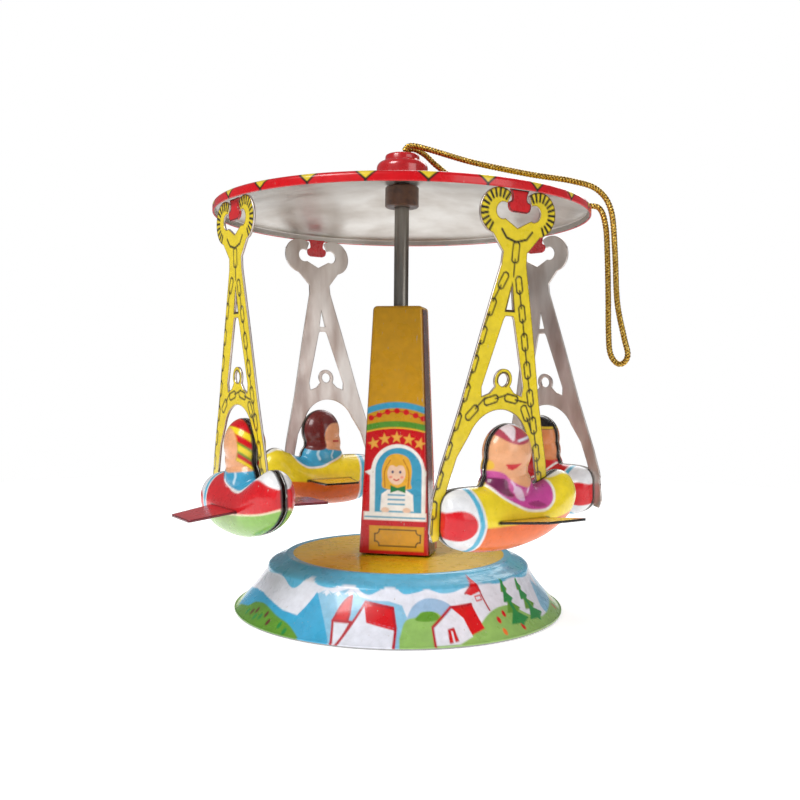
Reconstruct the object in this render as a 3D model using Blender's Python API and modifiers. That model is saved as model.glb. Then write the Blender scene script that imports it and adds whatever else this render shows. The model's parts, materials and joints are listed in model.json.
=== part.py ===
"""Tin rocket carousel: a pressed base, a ticket tower with a small clockwork in it, and a canopy on a shaft
from which four rockets with riders swing. Metres, +Z up, origin at the centre of the base's foot. The
tower's front faces -Y. Azimuth 0 is -Y and grows towards +X."""

import math

import bmesh
import bpy
from mathutils import Matrix, Vector

MM = 0.001
TURN = 2 * math.pi
GAP = 0.3 * MM  # between neighbouring pieces
TIN = 0.4 * MM  # sheet thickness

# Base
FOOT_R = 32.4 * MM
BOTTOM_R = 31.3 * MM  # the tin disc that closes the base inside the rolled foot ring
SHOULDER_R = 25.8 * MM
SHOULDER_Z = 8.6 * MM
DECK_R = 22.4 * MM
DECK_Z = 10.6 * MM
SKIRT_FLARE = 1.35  # power of the skirt's outward curve

# Tower
TOWER_FOOT_Z = DECK_Z + GAP
TOWER_TOP_Z = 59.6 * MM
TOWER_FOOT = (14.2 * MM, 10.0 * MM)  # across X, across Y
TOWER_HEAD = (10.0 * MM, 7.0 * MM)
TOWER_EDGE_R = 0.9 * MM
TOWER_CROWN_R = 0.8 * MM
TAB_WIDTH = 2.4 * MM
TAB_DROP = 1.6 * MM  # how far the tabs reach below the deck's top

# Carousel shaft and canopy
SHAFT_R = 1.45 * MM
PIVOT_R = 0.7 * MM
BUSHING_R = 2.5 * MM
BUSHING_Z = (55.3 * MM, 58.8 * MM)
RETAINER_R = 2.4 * MM
RETAINER_Z = (54.0 * MM, 54.8 * MM)
BORE_R = SHAFT_R + GAP
SHAFT_FOOT_Z = 29.4 * MM
PIVOT_TOP_Z = 32.4 * MM
SHAFT_TOP_Z = 87.0 * MM
COLLAR_R = 3.35 * MM
COLLAR_Z = (79.3 * MM, 83.4 * MM)
CANOPY_R = 37.0 * MM
CANOPY_EDGE_Z = 76.9 * MM
CANOPY_RIM_Z = 78.6 * MM
CANOPY_RISE = 5.8 * MM
CANOPY_POWER = 1.35
CAP_R = 5.1 * MM
CAP_STEP_R = 3.6 * MM
CAP_FOOT_Z = 84.7 * MM
CAP_STEP_Z = 88.5 * MM
CAP_TOP_Z = 90.0 * MM
CAP_HOLE_R = 1.7 * MM

# Swings: the hangers hang from lugs at this distance from the axis, on hinges at this height
SWING_R = 35.6 * MM
SWING_Z = 75.2 * MM
# The claws sit loosely on the lugs, so each hanger rests in its own way: its azimuth, how far its foot
# hangs inwards, how far it is turned about the vertical (all in degrees) and how far it has slipped down
SWINGS = {
    "front_right": (45, 3, 0, 0.0),
    "back_right": (135, -3, 12, 0.45 * MM),
    "back_left": (225, 3, 0, 0.0),
    "front_left": (315, 3, 0, 0.0),
}
LEAN = 0.062  # each hanger leans towards its rocket's nose by this much per unit of height
NOSE_LEG_Z = 20.0 * MM  # the legs' lower ends, gripped between the rocket's two shells
TAIL_LEG_Z = 23.6 * MM
CLAW_X = 4.3 * MM
CLAW_Z = 73.2 * MM
CLAW_R = (1.95 * MM, 3.85 * MM)
LUG_NECK = 1.5 * MM  # half width of the lug between the claws
LUG_HEAD = 2.4 * MM
LUG_HEAD_Z = (73.2 * MM, 75.0 * MM)
SEAM = 0.3 * MM  # half the slot between the rocket's two shells
WING_SPAN = 27.0 * MM
WING_Z = 22.0 * MM
WING_CHORD = (-5.0 * MM, 5.5 * MM)
WING_TIP = (-2.5 * MM, 6.0 * MM)
WING_ROOT = 5.2 * MM  # half the width of the rocket where the wing plate comes out
WING_DROOP = math.radians(3)

# Clockwork in the tower: the arbors lie along Y
MODULE = 0.4 * MM
GREAT_TEETH = 24
PINION_TEETH = 8
CROWN_TEETH = 18
WINDING_Z = 21.0 * MM
CROWN_Z = WINDING_Z + (GREAT_TEETH + PINION_TEETH) * MODULE / 2
PLATE_Y = 3.4 * MM
PLATE_Z = (11.2 * MM, 34.2 * MM)
PLATE_HALF = (5.3 * MM, 4.5 * MM)  # half widths at foot and head
PILLARS = {
    "lower_left": (-4.3 * MM, 13.2 * MM),
    "lower_right": (4.3 * MM, 13.2 * MM),
    "upper_left": (-3.8 * MM, 32.8 * MM),
    "upper_right": (3.8 * MM, 32.8 * MM),
}
ARBOR_R = 0.8 * MM
CROWN_ARBOR_R = 0.5 * MM
PRESS_GAP = 0.15 * MM
KEY_SPAN = 10.6 * MM
GREAT_Y = -2.4 * MM  # middle of the great wheel
SPRING_Y = -0.4 * MM
CROWN_FACE_Y = 2.3 * MM  # the disc's face that the crown teeth stand on

# Cord: strand diameter, its direction from the axis, and its route as (outwards, sideways, height)
CORD_D = 1.2 * MM
CORD_AZIMUTH = 100.5
CORD_ROUTE_MM = (
    (0.3, -0.8, 90.3),
    (1.6, -1.0, 91.3),
    (5.0, -1.3, 90.6),
    (14.0, -1.5, 88.0),
    (25.0, -1.4, 85.8),
    (33.5, -1.0, 84.6),
    (38.6, -0.6, 83.0),
    (41.4, -0.4, 79.0),
    (42.2, -0.4, 71.0),
    (42.5, -0.4, 61.0),
    (43.2, -0.9, 54.0),
    (44.6, -1.2, 49.6),
    (45.4, 0.2, 48.6),
    (44.4, 1.6, 50.2),
    (42.4, 1.0, 55.0),
    (41.5, 0.5, 62.0),
    (41.1, 0.4, 70.0),
    (40.6, 0.6, 76.0),
    (39.4, 1.0, 79.6),
    (36.6, 1.5, 80.3),
    (30.0, 2.5, 81.6),
    (20.0, 2.9, 83.6),
    (11.0, 2.6, 85.6),
    (7.0, 2.0, 88.0),
    (4.4, 1.5, 90.2),
    (2.0, 1.1, 91.2),
    (0.3, 0.8, 90.3),
)


# ---------------------------------------------------------------- scene and materials
for old in list(bpy.data.objects):
    bpy.data.objects.remove(old, do_unlink=True)
PARTS = bpy.data.collections.new("tin_rocket_carousel")
CUTTERS = bpy.data.collections.new("cutters")
for holder in (PARTS, CUTTERS):
    bpy.context.scene.collection.children.link(holder)


def material(name, colour, roughness, metallic):
    mat = bpy.data.materials.new(name)
    mat.use_nodes = True
    shader = mat.node_tree.nodes["Principled BSDF"]
    shader.inputs["Base Color"].default_value = (*colour, 1.0)
    shader.inputs["Roughness"].default_value = roughness
    shader.inputs["Metallic"].default_value = metallic
    return mat


def part(name, mesh, mat, parent=None, matrix=None):
    """An object in the parts collection, in its own material, at matrix under its parent."""
    obj = bpy.data.objects.new(name, mesh)
    PARTS.objects.link(obj)
    own = mat.copy()
    own.name = name + "_" + mat.name
    if not mesh.materials:
        mesh.materials.append(own)
    obj.material_slots[0].link = "OBJECT"
    obj.material_slots[0].material = own
    if parent is not None:
        obj.parent = parent
    if matrix is not None:
        obj.matrix_local = matrix
    return obj


def empty(name, matrix, parent=None):
    obj = bpy.data.objects.new(name, None)
    PARTS.objects.link(obj)
    obj.parent = parent
    obj.matrix_local = matrix
    return obj


def cutter(name, mesh, matrix=None):
    obj = bpy.data.objects.new(name, mesh)
    CUTTERS.objects.link(obj)
    obj.hide_render = True
    obj.display_type = "WIRE"
    if matrix is not None:
        obj.matrix_world = matrix
    return obj


def boolean(obj, other, operation):
    mod = obj.modifiers.new(operation.lower() + "_" + other.name, "BOOLEAN")
    mod.operation = operation
    mod.object = other


def evaluated_mesh(obj, name):
    """The object's mesh with its modifiers, welded, after which the object is removed."""
    bpy.context.view_layer.update()
    depsgraph = bpy.context.evaluated_depsgraph_get()
    mesh = bpy.data.meshes.new_from_object(obj.evaluated_get(depsgraph), depsgraph=depsgraph)
    mesh.name = name
    bm = bmesh.new()
    bm.from_mesh(mesh)
    bmesh.ops.remove_doubles(bm, verts=bm.verts, dist=1e-7)
    bmesh.ops.recalc_face_normals(bm, faces=bm.faces)
    bm.to_mesh(mesh)
    bm.free()
    bpy.data.objects.remove(obj, do_unlink=True)
    return mesh


# ---------------------------------------------------------------- shapes
def polar(azimuth, out, side=0.0, height=0.0):
    """A point out from the axis at an azimuth in degrees, moved sideways anticlockwise from above."""
    a = math.radians(azimuth)
    return Vector((out * math.sin(a) + side * math.cos(a), side * math.sin(a) - out * math.cos(a), height))


def arc(cx, cy, radius, start, end, count):
    """Points along an arc, angles in degrees, anticlockwise if end > start."""
    angles = [math.radians(start + (end - start) * i / (count - 1)) for i in range(count)]
    return [(cx + radius * math.cos(a), cy + radius * math.sin(a)) for a in angles]


def plate_mesh(name, loops, thickness):
    """A flat plate in local XY, centred on Z = 0: the first loop is the outline and the rest are holes."""
    curve = bpy.data.curves.new(name, "CURVE")
    curve.dimensions = "2D"
    curve.fill_mode = "BOTH"
    curve.extrude = thickness / 2
    for loop in loops:
        spline = curve.splines.new("POLY")
        spline.points.add(len(loop) - 1)
        for point, (x, y) in zip(spline.points, loop):
            point.co = (x, y, 0.0, 1.0)
        spline.use_cyclic_u = True
    guide = bpy.data.objects.new(name, curve)
    CUTTERS.objects.link(guide)
    return evaluated_mesh(guide, name)


def turned(name, profile, steps, mat, parent=None, matrix=None):
    """A closed profile (or one from axis to axis) of (radius, height) points, turned about local Z."""
    area = sum(
        profile[i - 1][0] * profile[i][1] - profile[i][0] * profile[i - 1][1] for i in range(len(profile))
    )
    points = list(profile) if area < 0 else list(reversed(profile))
    on_axis = [i for i, p in enumerate(points) if p[0] < 1e-9]
    closed = not on_axis
    if on_axis:  # start at the top end of the axis and run down the outer side
        top = max(on_axis, key=lambda i: points[i][1])
        points = points[top:] + points[:top]
    mesh = bpy.data.meshes.new(name)
    edges = [(i, i + 1) for i in range(len(points) - 1)]
    if closed:
        edges.append((len(points) - 1, 0))
    mesh.from_pydata([(r, 0.0, z) for r, z in points], edges, [])
    obj = part(name, mesh, mat, parent, matrix)
    screw = obj.modifiers.new("turn", "SCREW")
    screw.angle = TURN
    screw.steps = steps
    screw.render_steps = steps
    screw.use_merge_vertices = True
    screw.merge_threshold = 0.00001
    screw.use_smooth_shade = True
    return obj


def sheet_loop(outer, thickness):
    """A closed profile: the outer line and back along a line inset by the sheet's thickness."""
    inner = []
    for i, p in enumerate(outer):
        before = Vector(outer[max(i - 1, 0)])
        after = Vector(outer[min(i + 1, len(outer) - 1)])
        along = (after - before).normalized()
        inner.append((p[0] - thickness * -along.y, p[1] - thickness * along.x))
    return list(outer) + list(reversed(inner))


def ring_profile(inner, outer, low, high):
    return [(inner, high), (outer, high), (outer, low), (inner, low)]


def box_mesh(name, low, high):
    bm = bmesh.new()
    bmesh.ops.create_cube(bm, size=1.0)
    size = Vector(high) - Vector(low)
    centre = (Vector(high) + Vector(low)) / 2
    for v in bm.verts:
        v.co = Vector((v.co.x * size.x, v.co.y * size.y, v.co.z * size.z)) + centre
    mesh = bpy.data.meshes.new(name)
    bm.to_mesh(mesh)
    bm.free()
    return mesh


def loft_mesh(name, rings, cap_start, cap_end):
    """A skin over rings of equal point counts, with its ends filled or left open."""
    bm = bmesh.new()
    rows = [[bm.verts.new(p) for p in ring] for ring in rings]
    for low, high in zip(rows, rows[1:]):
        for i in range(len(low)):
            j = (i + 1) % len(low)
            bm.faces.new((low[i], low[j], high[j], high[i]))
    if cap_start:
        bm.faces.new(list(reversed(rows[0])))
    if cap_end:
        bm.faces.new(rows[-1])
    bmesh.ops.recalc_face_normals(bm, faces=bm.faces)
    mesh = bpy.data.meshes.new(name)
    bm.to_mesh(mesh)
    bm.free()
    return mesh


def joined(name, meshes, matrices):
    bm = bmesh.new()
    for mesh, matrix in zip(meshes, matrices):
        copy = mesh.copy()
        copy.transform(matrix)
        bm.from_mesh(copy)
        bpy.data.meshes.remove(copy)
    mesh = bpy.data.meshes.new(name)
    bm.to_mesh(mesh)
    bm.free()
    return mesh


def lying(y):
    """A frame whose local Z is world +Y and whose local X is world X, at a distance along Y."""
    return Matrix.Translation((0, y, 0)) @ Matrix.Rotation(math.radians(-90), 4, "X")


def upright(y):
    """A frame for plates: local X is world X, local Y is world Z and local Z is world -Y."""
    return Matrix.Translation((0, y, 0)) @ Matrix.Rotation(math.radians(90), 4, "X")


def swing_frame(azimuth, inwards=0, turn=0, drop=0.0):
    """Local X sideways (anticlockwise from above), local Y up and local Z outwards, on the swing's hinge.
    The frame may lean in with its foot, be turned about the vertical (both in degrees) and sit lower."""
    a = math.radians(azimuth)
    out = Vector((math.sin(a), -math.cos(a), 0))
    side = Vector((math.cos(a), math.sin(a), 0))
    axes = Matrix((side, Vector((0, 0, 1)), out)).transposed().to_4x4()
    rest = Matrix.Rotation(math.radians(turn), 4, "Z") @ axes @ Matrix.Rotation(math.radians(inwards), 4, "X")
    return Matrix.Translation(out * SWING_R + Vector((0, 0, SWING_Z - drop))) @ rest


# ---------------------------------------------------------------- materials
BASE_BLUE = material("base_lacquer", (0.10, 0.42, 0.72), 0.25, 0.0)
TOWER_YELLOW = material("tower_lacquer", (0.85, 0.58, 0.06), 0.28, 0.0)
RED = material("red_lacquer", (0.72, 0.03, 0.03), 0.25, 0.0)
YELLOW = material("yellow_lacquer", (0.86, 0.74, 0.08), 0.25, 0.0)
BARE_TIN = material("bare_tin", (0.62, 0.62, 0.60), 0.30, 1.0)
STEEL = material("steel", (0.45, 0.44, 0.42), 0.35, 1.0)
BRASS = material("brass", (0.80, 0.60, 0.25), 0.30, 1.0)
BROWN = material("brown_collar", (0.18, 0.09, 0.04), 0.45, 0.0)
SPRING_STEEL = material("spring_steel", (0.20, 0.22, 0.27), 0.35, 1.0)
GOLD = material("gold_cord", (0.80, 0.56, 0.15), 0.40, 0.6)


# ---------------------------------------------------------------- base
def base_outer_line():
    drop = SHOULDER_Z - 0.5 * MM
    flare = FOOT_R - 0.3 * MM - SHOULDER_R
    skirt = [
        (SHOULDER_R + flare * u**SKIRT_FLARE, SHOULDER_Z - drop * u) for u in (0.16, 0.42, 0.7, 1.0)
    ]
    deck = [
        (0.0, DECK_Z),
        (DECK_R, DECK_Z),
        (DECK_R + 0.5 * MM, DECK_Z - 0.5 * MM),
        (SHOULDER_R - 0.8 * MM, SHOULDER_Z + 0.6 * MM),
        (SHOULDER_R, SHOULDER_Z),
    ]
    return deck + skirt


def make_base():
    outer = base_outer_line()
    loop = sheet_loop(outer, TIN)
    turn = len(outer)
    foot = [(FOOT_R, 0.35 * MM), (FOOT_R - 0.1 * MM, 0.0), (FOOT_R - 1.0 * MM, 0.0)]
    profile = outer + foot + loop[turn:]
    base = turned("base_shell", profile, 44, BASE_BLUE)
    bottom = [(0, 0), (BOTTOM_R, 0), (BOTTOM_R, TIN), (0, TIN)]
    turned("base_bottom_plate", bottom, 44, BARE_TIN, base)
    slots = [slot_box(x, y) for x, y in tab_places()]
    mesh = joined("tab_slots", slots, [Matrix.Identity(4)] * len(slots))
    boolean(base, cutter("tab_slots", mesh), "DIFFERENCE")


def tab_places():
    """Where tabs pass through the deck: two under the tower's front, two under its back, one per plate."""
    wall_y = TOWER_FOOT[1] / 2 - TIN / 2
    tower_tabs = [(x, y) for y in (-wall_y, wall_y) for x in (-4.2 * MM, 4.2 * MM)]
    return tower_tabs + [(0.0, -PLATE_Y + 0.05 * MM), (0.0, PLATE_Y - 0.05 * MM)]


def slot_box(x, y):
    half_x = TAB_WIDTH / 2 + GAP
    half_y = TIN / 2 + GAP
    return box_mesh("slot", (x - half_x, y - half_y, DECK_Z - 3 * MM), (x + half_x, y + half_y, DECK_Z + MM))


# ---------------------------------------------------------------- tower
def tower_ring(z, inset=0.0):
    """A rounded rectangle at a height, shrunk by inset."""
    f = (z - TOWER_FOOT_Z) / (TOWER_TOP_Z - TOWER_FOOT_Z)
    half_x = (TOWER_FOOT[0] + (TOWER_HEAD[0] - TOWER_FOOT[0]) * f) / 2 - inset
    half_y = (TOWER_FOOT[1] + (TOWER_HEAD[1] - TOWER_FOOT[1]) * f) / 2 - inset
    radius = max(TOWER_EDGE_R - inset, 0.2 * MM)
    points = []
    for sx, sy, start in ((1, 1, 0), (-1, 1, 90), (-1, -1, 180), (1, -1, 270)):
        points += arc(sx * (half_x - radius), sy * (half_y - radius), radius, start, start + 90, 4)
    return [Vector((x, y, z)) for x, y in points]


def tower_wall(name, mat):
    r = TOWER_CROWN_R
    rings = [tower_ring(TOWER_FOOT_Z), tower_ring(TOWER_TOP_Z - r)]
    rings += [tower_ring(TOWER_TOP_Z - r * (1 - math.sin(a)), r * (1 - math.cos(a)))
              for a in (math.radians(d) for d in (45, 90))]
    obj = part(name, loft_mesh(name, rings, False, True), mat)
    solid = obj.modifiers.new("sheet", "SOLIDIFY")
    solid.thickness = TIN
    solid.offset = -1.0
    solid.use_even_offset = True
    return obj


def cylinder_cutter(name, radius, matrix, length, sides=24):
    bm = bmesh.new()
    bmesh.ops.create_cone(bm, cap_ends=True, segments=sides, radius1=radius, radius2=radius, depth=length)
    mesh = bpy.data.meshes.new(name)
    bm.to_mesh(mesh)
    bm.free()
    return cutter(name, mesh, matrix)


def tab_mesh(name, y_sign):
    """Two tabs that hang from a tower wall through the deck."""
    boxes = []
    for x, y in tab_places():
        if abs(x) > 1e-9 and y * y_sign > 0:
            low = (x - TAB_WIDTH / 2, y - TIN / 2, DECK_Z - TAB_DROP)
            boxes.append(box_mesh("tab", low, (x + TAB_WIDTH / 2, y + TIN / 2, TOWER_FOOT_Z + MM)))
    return joined(name, boxes, [Matrix.Identity(4)] * len(boxes))


def make_tower():
    hole = cylinder_cutter(
        "shaft_hole", SHAFT_R + 0.35 * MM, Matrix.Translation((0, 0, TOWER_TOP_Z)), 6 * MM
    )
    seam_y = 2.2 * MM
    wide = 20 * MM
    behind = cutter("behind_seam", box_mesh("behind", (-wide, seam_y, 0), (wide, wide, 90 * MM)))
    ahead = cutter("ahead_of_seam", box_mesh("ahead", (-wide, -wide, 0), (wide, seam_y + 0.2 * MM, 90 * MM)))
    key_hole = cylinder_cutter(
        "key_hole", ARBOR_R + 0.5 * MM, lying(5 * MM) @ Matrix.Translation((0, -WINDING_Z, 0)), 6 * MM
    )
    front = tower_wall("tower_front_shell", TOWER_YELLOW)
    boolean(front, hole, "DIFFERENCE")
    boolean(front, behind, "DIFFERENCE")
    boolean(front, cutter("front_tabs", tab_mesh("front_tabs", -1)), "UNION")
    back = tower_wall("tower_back_cover", RED)
    boolean(back, ahead, "DIFFERENCE")
    boolean(back, key_hole, "DIFFERENCE")
    boolean(back, cutter("back_tabs", tab_mesh("back_tabs", 1)), "UNION")
    turned("shaft_bushing", ring_profile(BORE_R, BUSHING_R, *BUSHING_Z), 24, BRASS)


# ---------------------------------------------------------------- clockwork
def gear_loop(teeth, first_angle):
    """The outline of a spur gear with straight-sided teeth, one of them centred on first_angle (degrees)."""
    pitch_r = teeth * MODULE / 2
    root_r = pitch_r - 1.15 * MODULE
    tip_r = pitch_r + 0.8 * MODULE
    step = 360 / teeth
    root_half = math.degrees(0.72 * MODULE / pitch_r)
    tip_half = math.degrees(0.26 * MODULE / pitch_r)
    points = []
    for k in range(teeth):
        centre = first_angle + k * step
        for radius, offset in ((root_r, -root_half), (tip_r, -tip_half), (tip_r, tip_half), (root_r, root_half)):
            a = math.radians(centre + offset)
            points.append((radius * math.cos(a), radius * math.sin(a)))
    return points


def circle(radius, cx=0.0, cy=0.0, count=16):
    return arc(cx, cy, radius, 0, 360 - 360 / count, count)


def crown_tooth():
    """One tooth of the crown wheel, standing from its disc towards local -Y at the top of the wheel."""
    mean_r = CROWN_TEETH * MODULE / 2
    half_len = 0.4 * MM
    root_y, tip_y = CROWN_FACE_Y + 0.2 * MM, CROWN_FACE_Y - 0.95 * MM
    root_half, tip_half = 0.29 * MM, 0.13 * MM
    rings = []
    for y, half in ((root_y, root_half), (tip_y, tip_half)):
        rings.append([
            Vector((sx * half, y, mean_r + sz * half_len)) for sx, sz in ((-1, -1), (1, -1), (1, 1), (-1, 1))
        ])
    return loft_mesh("crown_tooth", rings, True, True)


def plate_loop():
    low, high = PLATE_Z
    foot, head = PLATE_HALF
    tab = TAB_WIDTH / 2
    drop = DECK_Z - TAB_DROP
    return [
        (-foot, low), (-tab, low), (-tab, drop), (tab, drop), (tab, low), (foot, low),
        (foot, low + 4 * MM), (head, high - 1.2 * MM), (head - 1.2 * MM, high),
        (-head + 1.2 * MM, high), (-head, high - 1.2 * MM), (-foot, low + 4 * MM),
    ]


def make_frame():
    """The two plates of the movement, its pillars and the bearing that the shaft stands in."""
    pillar_r = 0.55 * MM
    holes = [circle(ARBOR_R + PRESS_GAP, 0, WINDING_Z), circle(CROWN_ARBOR_R + PRESS_GAP, 0, CROWN_Z, 12)]
    holes += [circle(pillar_r - 0.1 * MM, x, z, 8) for x, z in PILLARS.values()]
    for name, y in (("front_movement_plate", -PLATE_Y), ("rear_movement_plate", PLATE_Y)):
        part(name, plate_mesh(name, [plate_loop()] + holes, TIN), BRASS, matrix=upright(y))
    inner = PLATE_Y - TIN / 2 - 0.05 * MM
    stub = pillar_r - 0.25 * MM
    reach = PLATE_Y + TIN / 2
    for corner, (x, z) in PILLARS.items():
        profile = [(0, reach), (stub, reach), (stub, inner), (pillar_r, inner),
                   (pillar_r, -inner), (stub, -inner), (stub, -reach), (0, -reach)]
        turned("pillar_" + corner, profile, 12, STEEL, matrix=Matrix.Translation((x, 0, z)) @ lying(0))
    shelf_top = SHAFT_FOOT_Z - GAP
    thick = 0.6 * MM
    back_y = -PLATE_Y + TIN / 2 + 0.1 * MM
    right = [(2.0 * MM, -1.45 * MM), (2.0 * MM, back_y), (3.0 * MM, back_y), (3.0 * MM, 1.1 * MM)]
    fork = right + [(-x, y) for x, y in reversed(right)]
    part("footstep_bearing", plate_mesh("footstep_bearing", [fork], thick), BRASS,
         matrix=Matrix.Translation((0, 0, shelf_top - thick / 2)))


def make_mainspring():
    """A flat spiral strip round the winding arbor, its outer end led to a pillar."""
    turns, count = 3.25, 53
    start_r, end_r, half = 1.45 * MM, 4.35 * MM, 0.13 * MM
    inner, outer = [], []
    for i in range(count):
        f = i / (count - 1)
        a = math.radians(-30) + f * turns * TURN
        r = start_r + (end_r - start_r) * f
        inner.append(((r - half) * math.cos(a), (r - half) * math.sin(a)))
        outer.append(((r + half) * math.cos(a), (r + half) * math.sin(a)))
    strip = plate_mesh("mainspring", [outer + list(reversed(inner))], 1.8 * MM)
    part("mainspring", strip, SPRING_STEEL, matrix=upright(SPRING_Y) @ Matrix.Translation((0, WINDING_Z, 0)))


def make_winding():
    """The winding arbor with its key and ratchet washer, and the great wheel that rides on it."""
    axis = empty("winding_axis", Matrix.Translation((0, 0, WINDING_Z)))
    key_y = 6.3 * MM
    drum = 1.0 * MM
    front, rear = -PLATE_Y - TIN / 2, key_y + 1.0 * MM
    high, low = SPRING_Y + MM, SPRING_Y - MM
    profile = [(0, rear), (ARBOR_R, rear), (ARBOR_R, high), (drum, high), (drum, low),
               (ARBOR_R, low), (ARBOR_R, front), (0, front)]
    turned("winding_arbor", profile, 16, STEEL, axis, lying(0))
    barrel = turned("winding_key", [(ARBOR_R + PRESS_GAP, key_y - MM), (1.5 * MM, key_y - MM),
                                    (1.5 * MM, key_y + 1.8 * MM), (ARBOR_R + PRESS_GAP, key_y + 1.8 * MM)],
                    20, STEEL, axis, lying(0))
    lobe_r, eye_r = KEY_SPAN / 4, 1.1 * MM
    lobe_x, lobe_y = KEY_SPAN / 4 - 0.05 * MM, key_y + 3.9 * MM
    outline = arc(lobe_x, lobe_y, lobe_r, -60, 150, 9) + arc(-lobe_x, lobe_y, lobe_r, 30, 240, 9)
    outline += [(-1.2 * MM, key_y + 1.2 * MM), (1.2 * MM, key_y + 1.2 * MM)]
    eyes = [circle(eye_r, side * lobe_x, lobe_y, 10) for side in (-1, 1)]
    blade = plate_mesh("key_blade", [outline] + eyes, 0.8 * MM)
    boolean(barrel, cutter("key_blade", blade, Matrix.Translation((0, 0, WINDING_Z))), "UNION")
    bore_end = cylinder_cutter(
        "key_bore", ARBOR_R + PRESS_GAP, Matrix.Translation((0, 0, WINDING_Z)) @ lying(key_y), 3.2 * MM, 20
    )
    boolean(barrel, bore_end, "DIFFERENCE")
    washer = []
    for k in range(3):
        washer += arc(0, 0, 2.6 * MM, k * 120 - 16, k * 120 + 16, 4)
        washer += arc(0, 0, 1.5 * MM, k * 120 + 34, k * 120 + 86, 3)
    part("ratchet_washer", plate_mesh("ratchet_washer", [washer, circle(ARBOR_R + PRESS_GAP)], 0.25 * MM),
         SPRING_STEEL, axis, upright(GREAT_Y + 0.6 * MM))
    wheel = empty("great_wheel_axis", Matrix.Translation((0, 0, WINDING_Z)))
    windows = [arc(0, 0, 3.5 * MM, k * 90 + 20, k * 90 + 70, 5) + arc(0, 0, 2.3 * MM, k * 90 + 65, k * 90 + 25, 4)
               for k in range(4)]
    loops = [gear_loop(GREAT_TEETH, 90), circle(ARBOR_R + PRESS_GAP)] + windows
    part("great_wheel", plate_mesh("great_wheel", loops, 0.7 * MM), BRASS, wheel, upright(GREAT_Y))


def make_crown():
    """The intermediate arbor: a pinion driven by the great wheel, and a crown wheel that drives the shaft."""
    axis = empty("crown_axis", Matrix.Translation((0, 0, CROWN_Z)))
    reach = PLATE_Y + TIN / 2
    turned("crown_arbor", [(0, reach), (CROWN_ARBOR_R, reach), (CROWN_ARBOR_R, -reach), (0, -reach)],
           12, STEEL, axis, lying(0))
    bore = circle(CROWN_ARBOR_R + PRESS_GAP, count=12)
    half_step = 180 / PINION_TEETH
    pinion = plate_mesh("crown_pinion", [gear_loop(PINION_TEETH, -90 + half_step), bore], 1.2 * MM)
    part("crown_pinion", pinion, BRASS, axis, upright(GREAT_Y + 0.05 * MM))
    rim_r = CROWN_TEETH * MODULE / 2 + 0.45 * MM
    disc = plate_mesh("crown_wheel", [circle(rim_r, count=36), bore], 0.5 * MM)
    wheel = part("crown_wheel", disc, BRASS, axis, upright(CROWN_FACE_Y + 0.25 * MM))
    tooth = crown_tooth()
    spins = [Matrix.Rotation(TURN * k / CROWN_TEETH, 4, "Y") for k in range(CROWN_TEETH)]
    teeth = joined("crown_teeth", [tooth] * CROWN_TEETH, spins)
    boolean(wheel, cutter("crown_teeth", teeth, Matrix.Translation((0, 0, CROWN_Z))), "UNION")


# ---------------------------------------------------------------- canopy
def canopy_z(r):
    return CANOPY_RIM_Z + CANOPY_RISE * (1 - (r / (CANOPY_R - 0.6 * MM)) ** CANOPY_POWER)


def lug_loop():
    """The lug's face: a root under the rim, a neck between the claws and a wider head that carries them."""
    root_z = 76.9 * MM
    low, high = LUG_HEAD_Z
    half = [(2.0 * MM, root_z), (LUG_NECK, 76.2 * MM), (LUG_NECK, high + 0.2 * MM), (LUG_HEAD, high - 0.2 * MM),
            (LUG_HEAD - 0.1 * MM, low + 0.6 * MM), (LUG_HEAD - 0.9 * MM, low)]
    return half + [(-x, z) for x, z in reversed(half)]


def make_canopy(axis):
    radii = [BORE_R, 10 * MM, 20 * MM, 29 * MM, CANOPY_R - 0.6 * MM]
    outer = [(r, canopy_z(r)) for r in radii]
    outer += [(CANOPY_R - 0.15 * MM, CANOPY_RIM_Z - 0.35 * MM), (CANOPY_R, CANOPY_RIM_Z - 0.9 * MM)]
    outer += [(CANOPY_R, CANOPY_EDGE_Z)]
    canopy = turned("canopy", sheet_loop(outer, TIN), 44, RED, axis)
    face = plate_mesh("lug_face", [[(x, z - SWING_Z) for x, z in lug_loop()]], TIN)
    bend = [(-0.2 * MM, 76.4 * MM), (0.2 * MM, 76.4 * MM), (1.4 * MM, 77.2 * MM), (1.4 * MM, 77.9 * MM),
            (1.05 * MM, 77.9 * MM), (-0.2 * MM, 77.0 * MM)]
    side_on = Matrix(((0, 0, 1, 0), (0, 1, 0, 0), (1, 0, 0, 0), (0, 0, 0, 1)))
    web = plate_mesh("lug_bend", [[(out, z - SWING_Z) for out, z in bend]], 3.6 * MM)
    web.transform(side_on)
    web.flip_normals()
    frames = [swing_frame(azimuth) for azimuth, *_ in SWINGS.values()]
    boolean(canopy, cutter("lug_bends", joined("lug_bends", [web] * 4, frames)), "UNION")
    boolean(canopy, cutter("lug_faces", joined("lug_faces", [face] * 4, frames)), "UNION")


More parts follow.
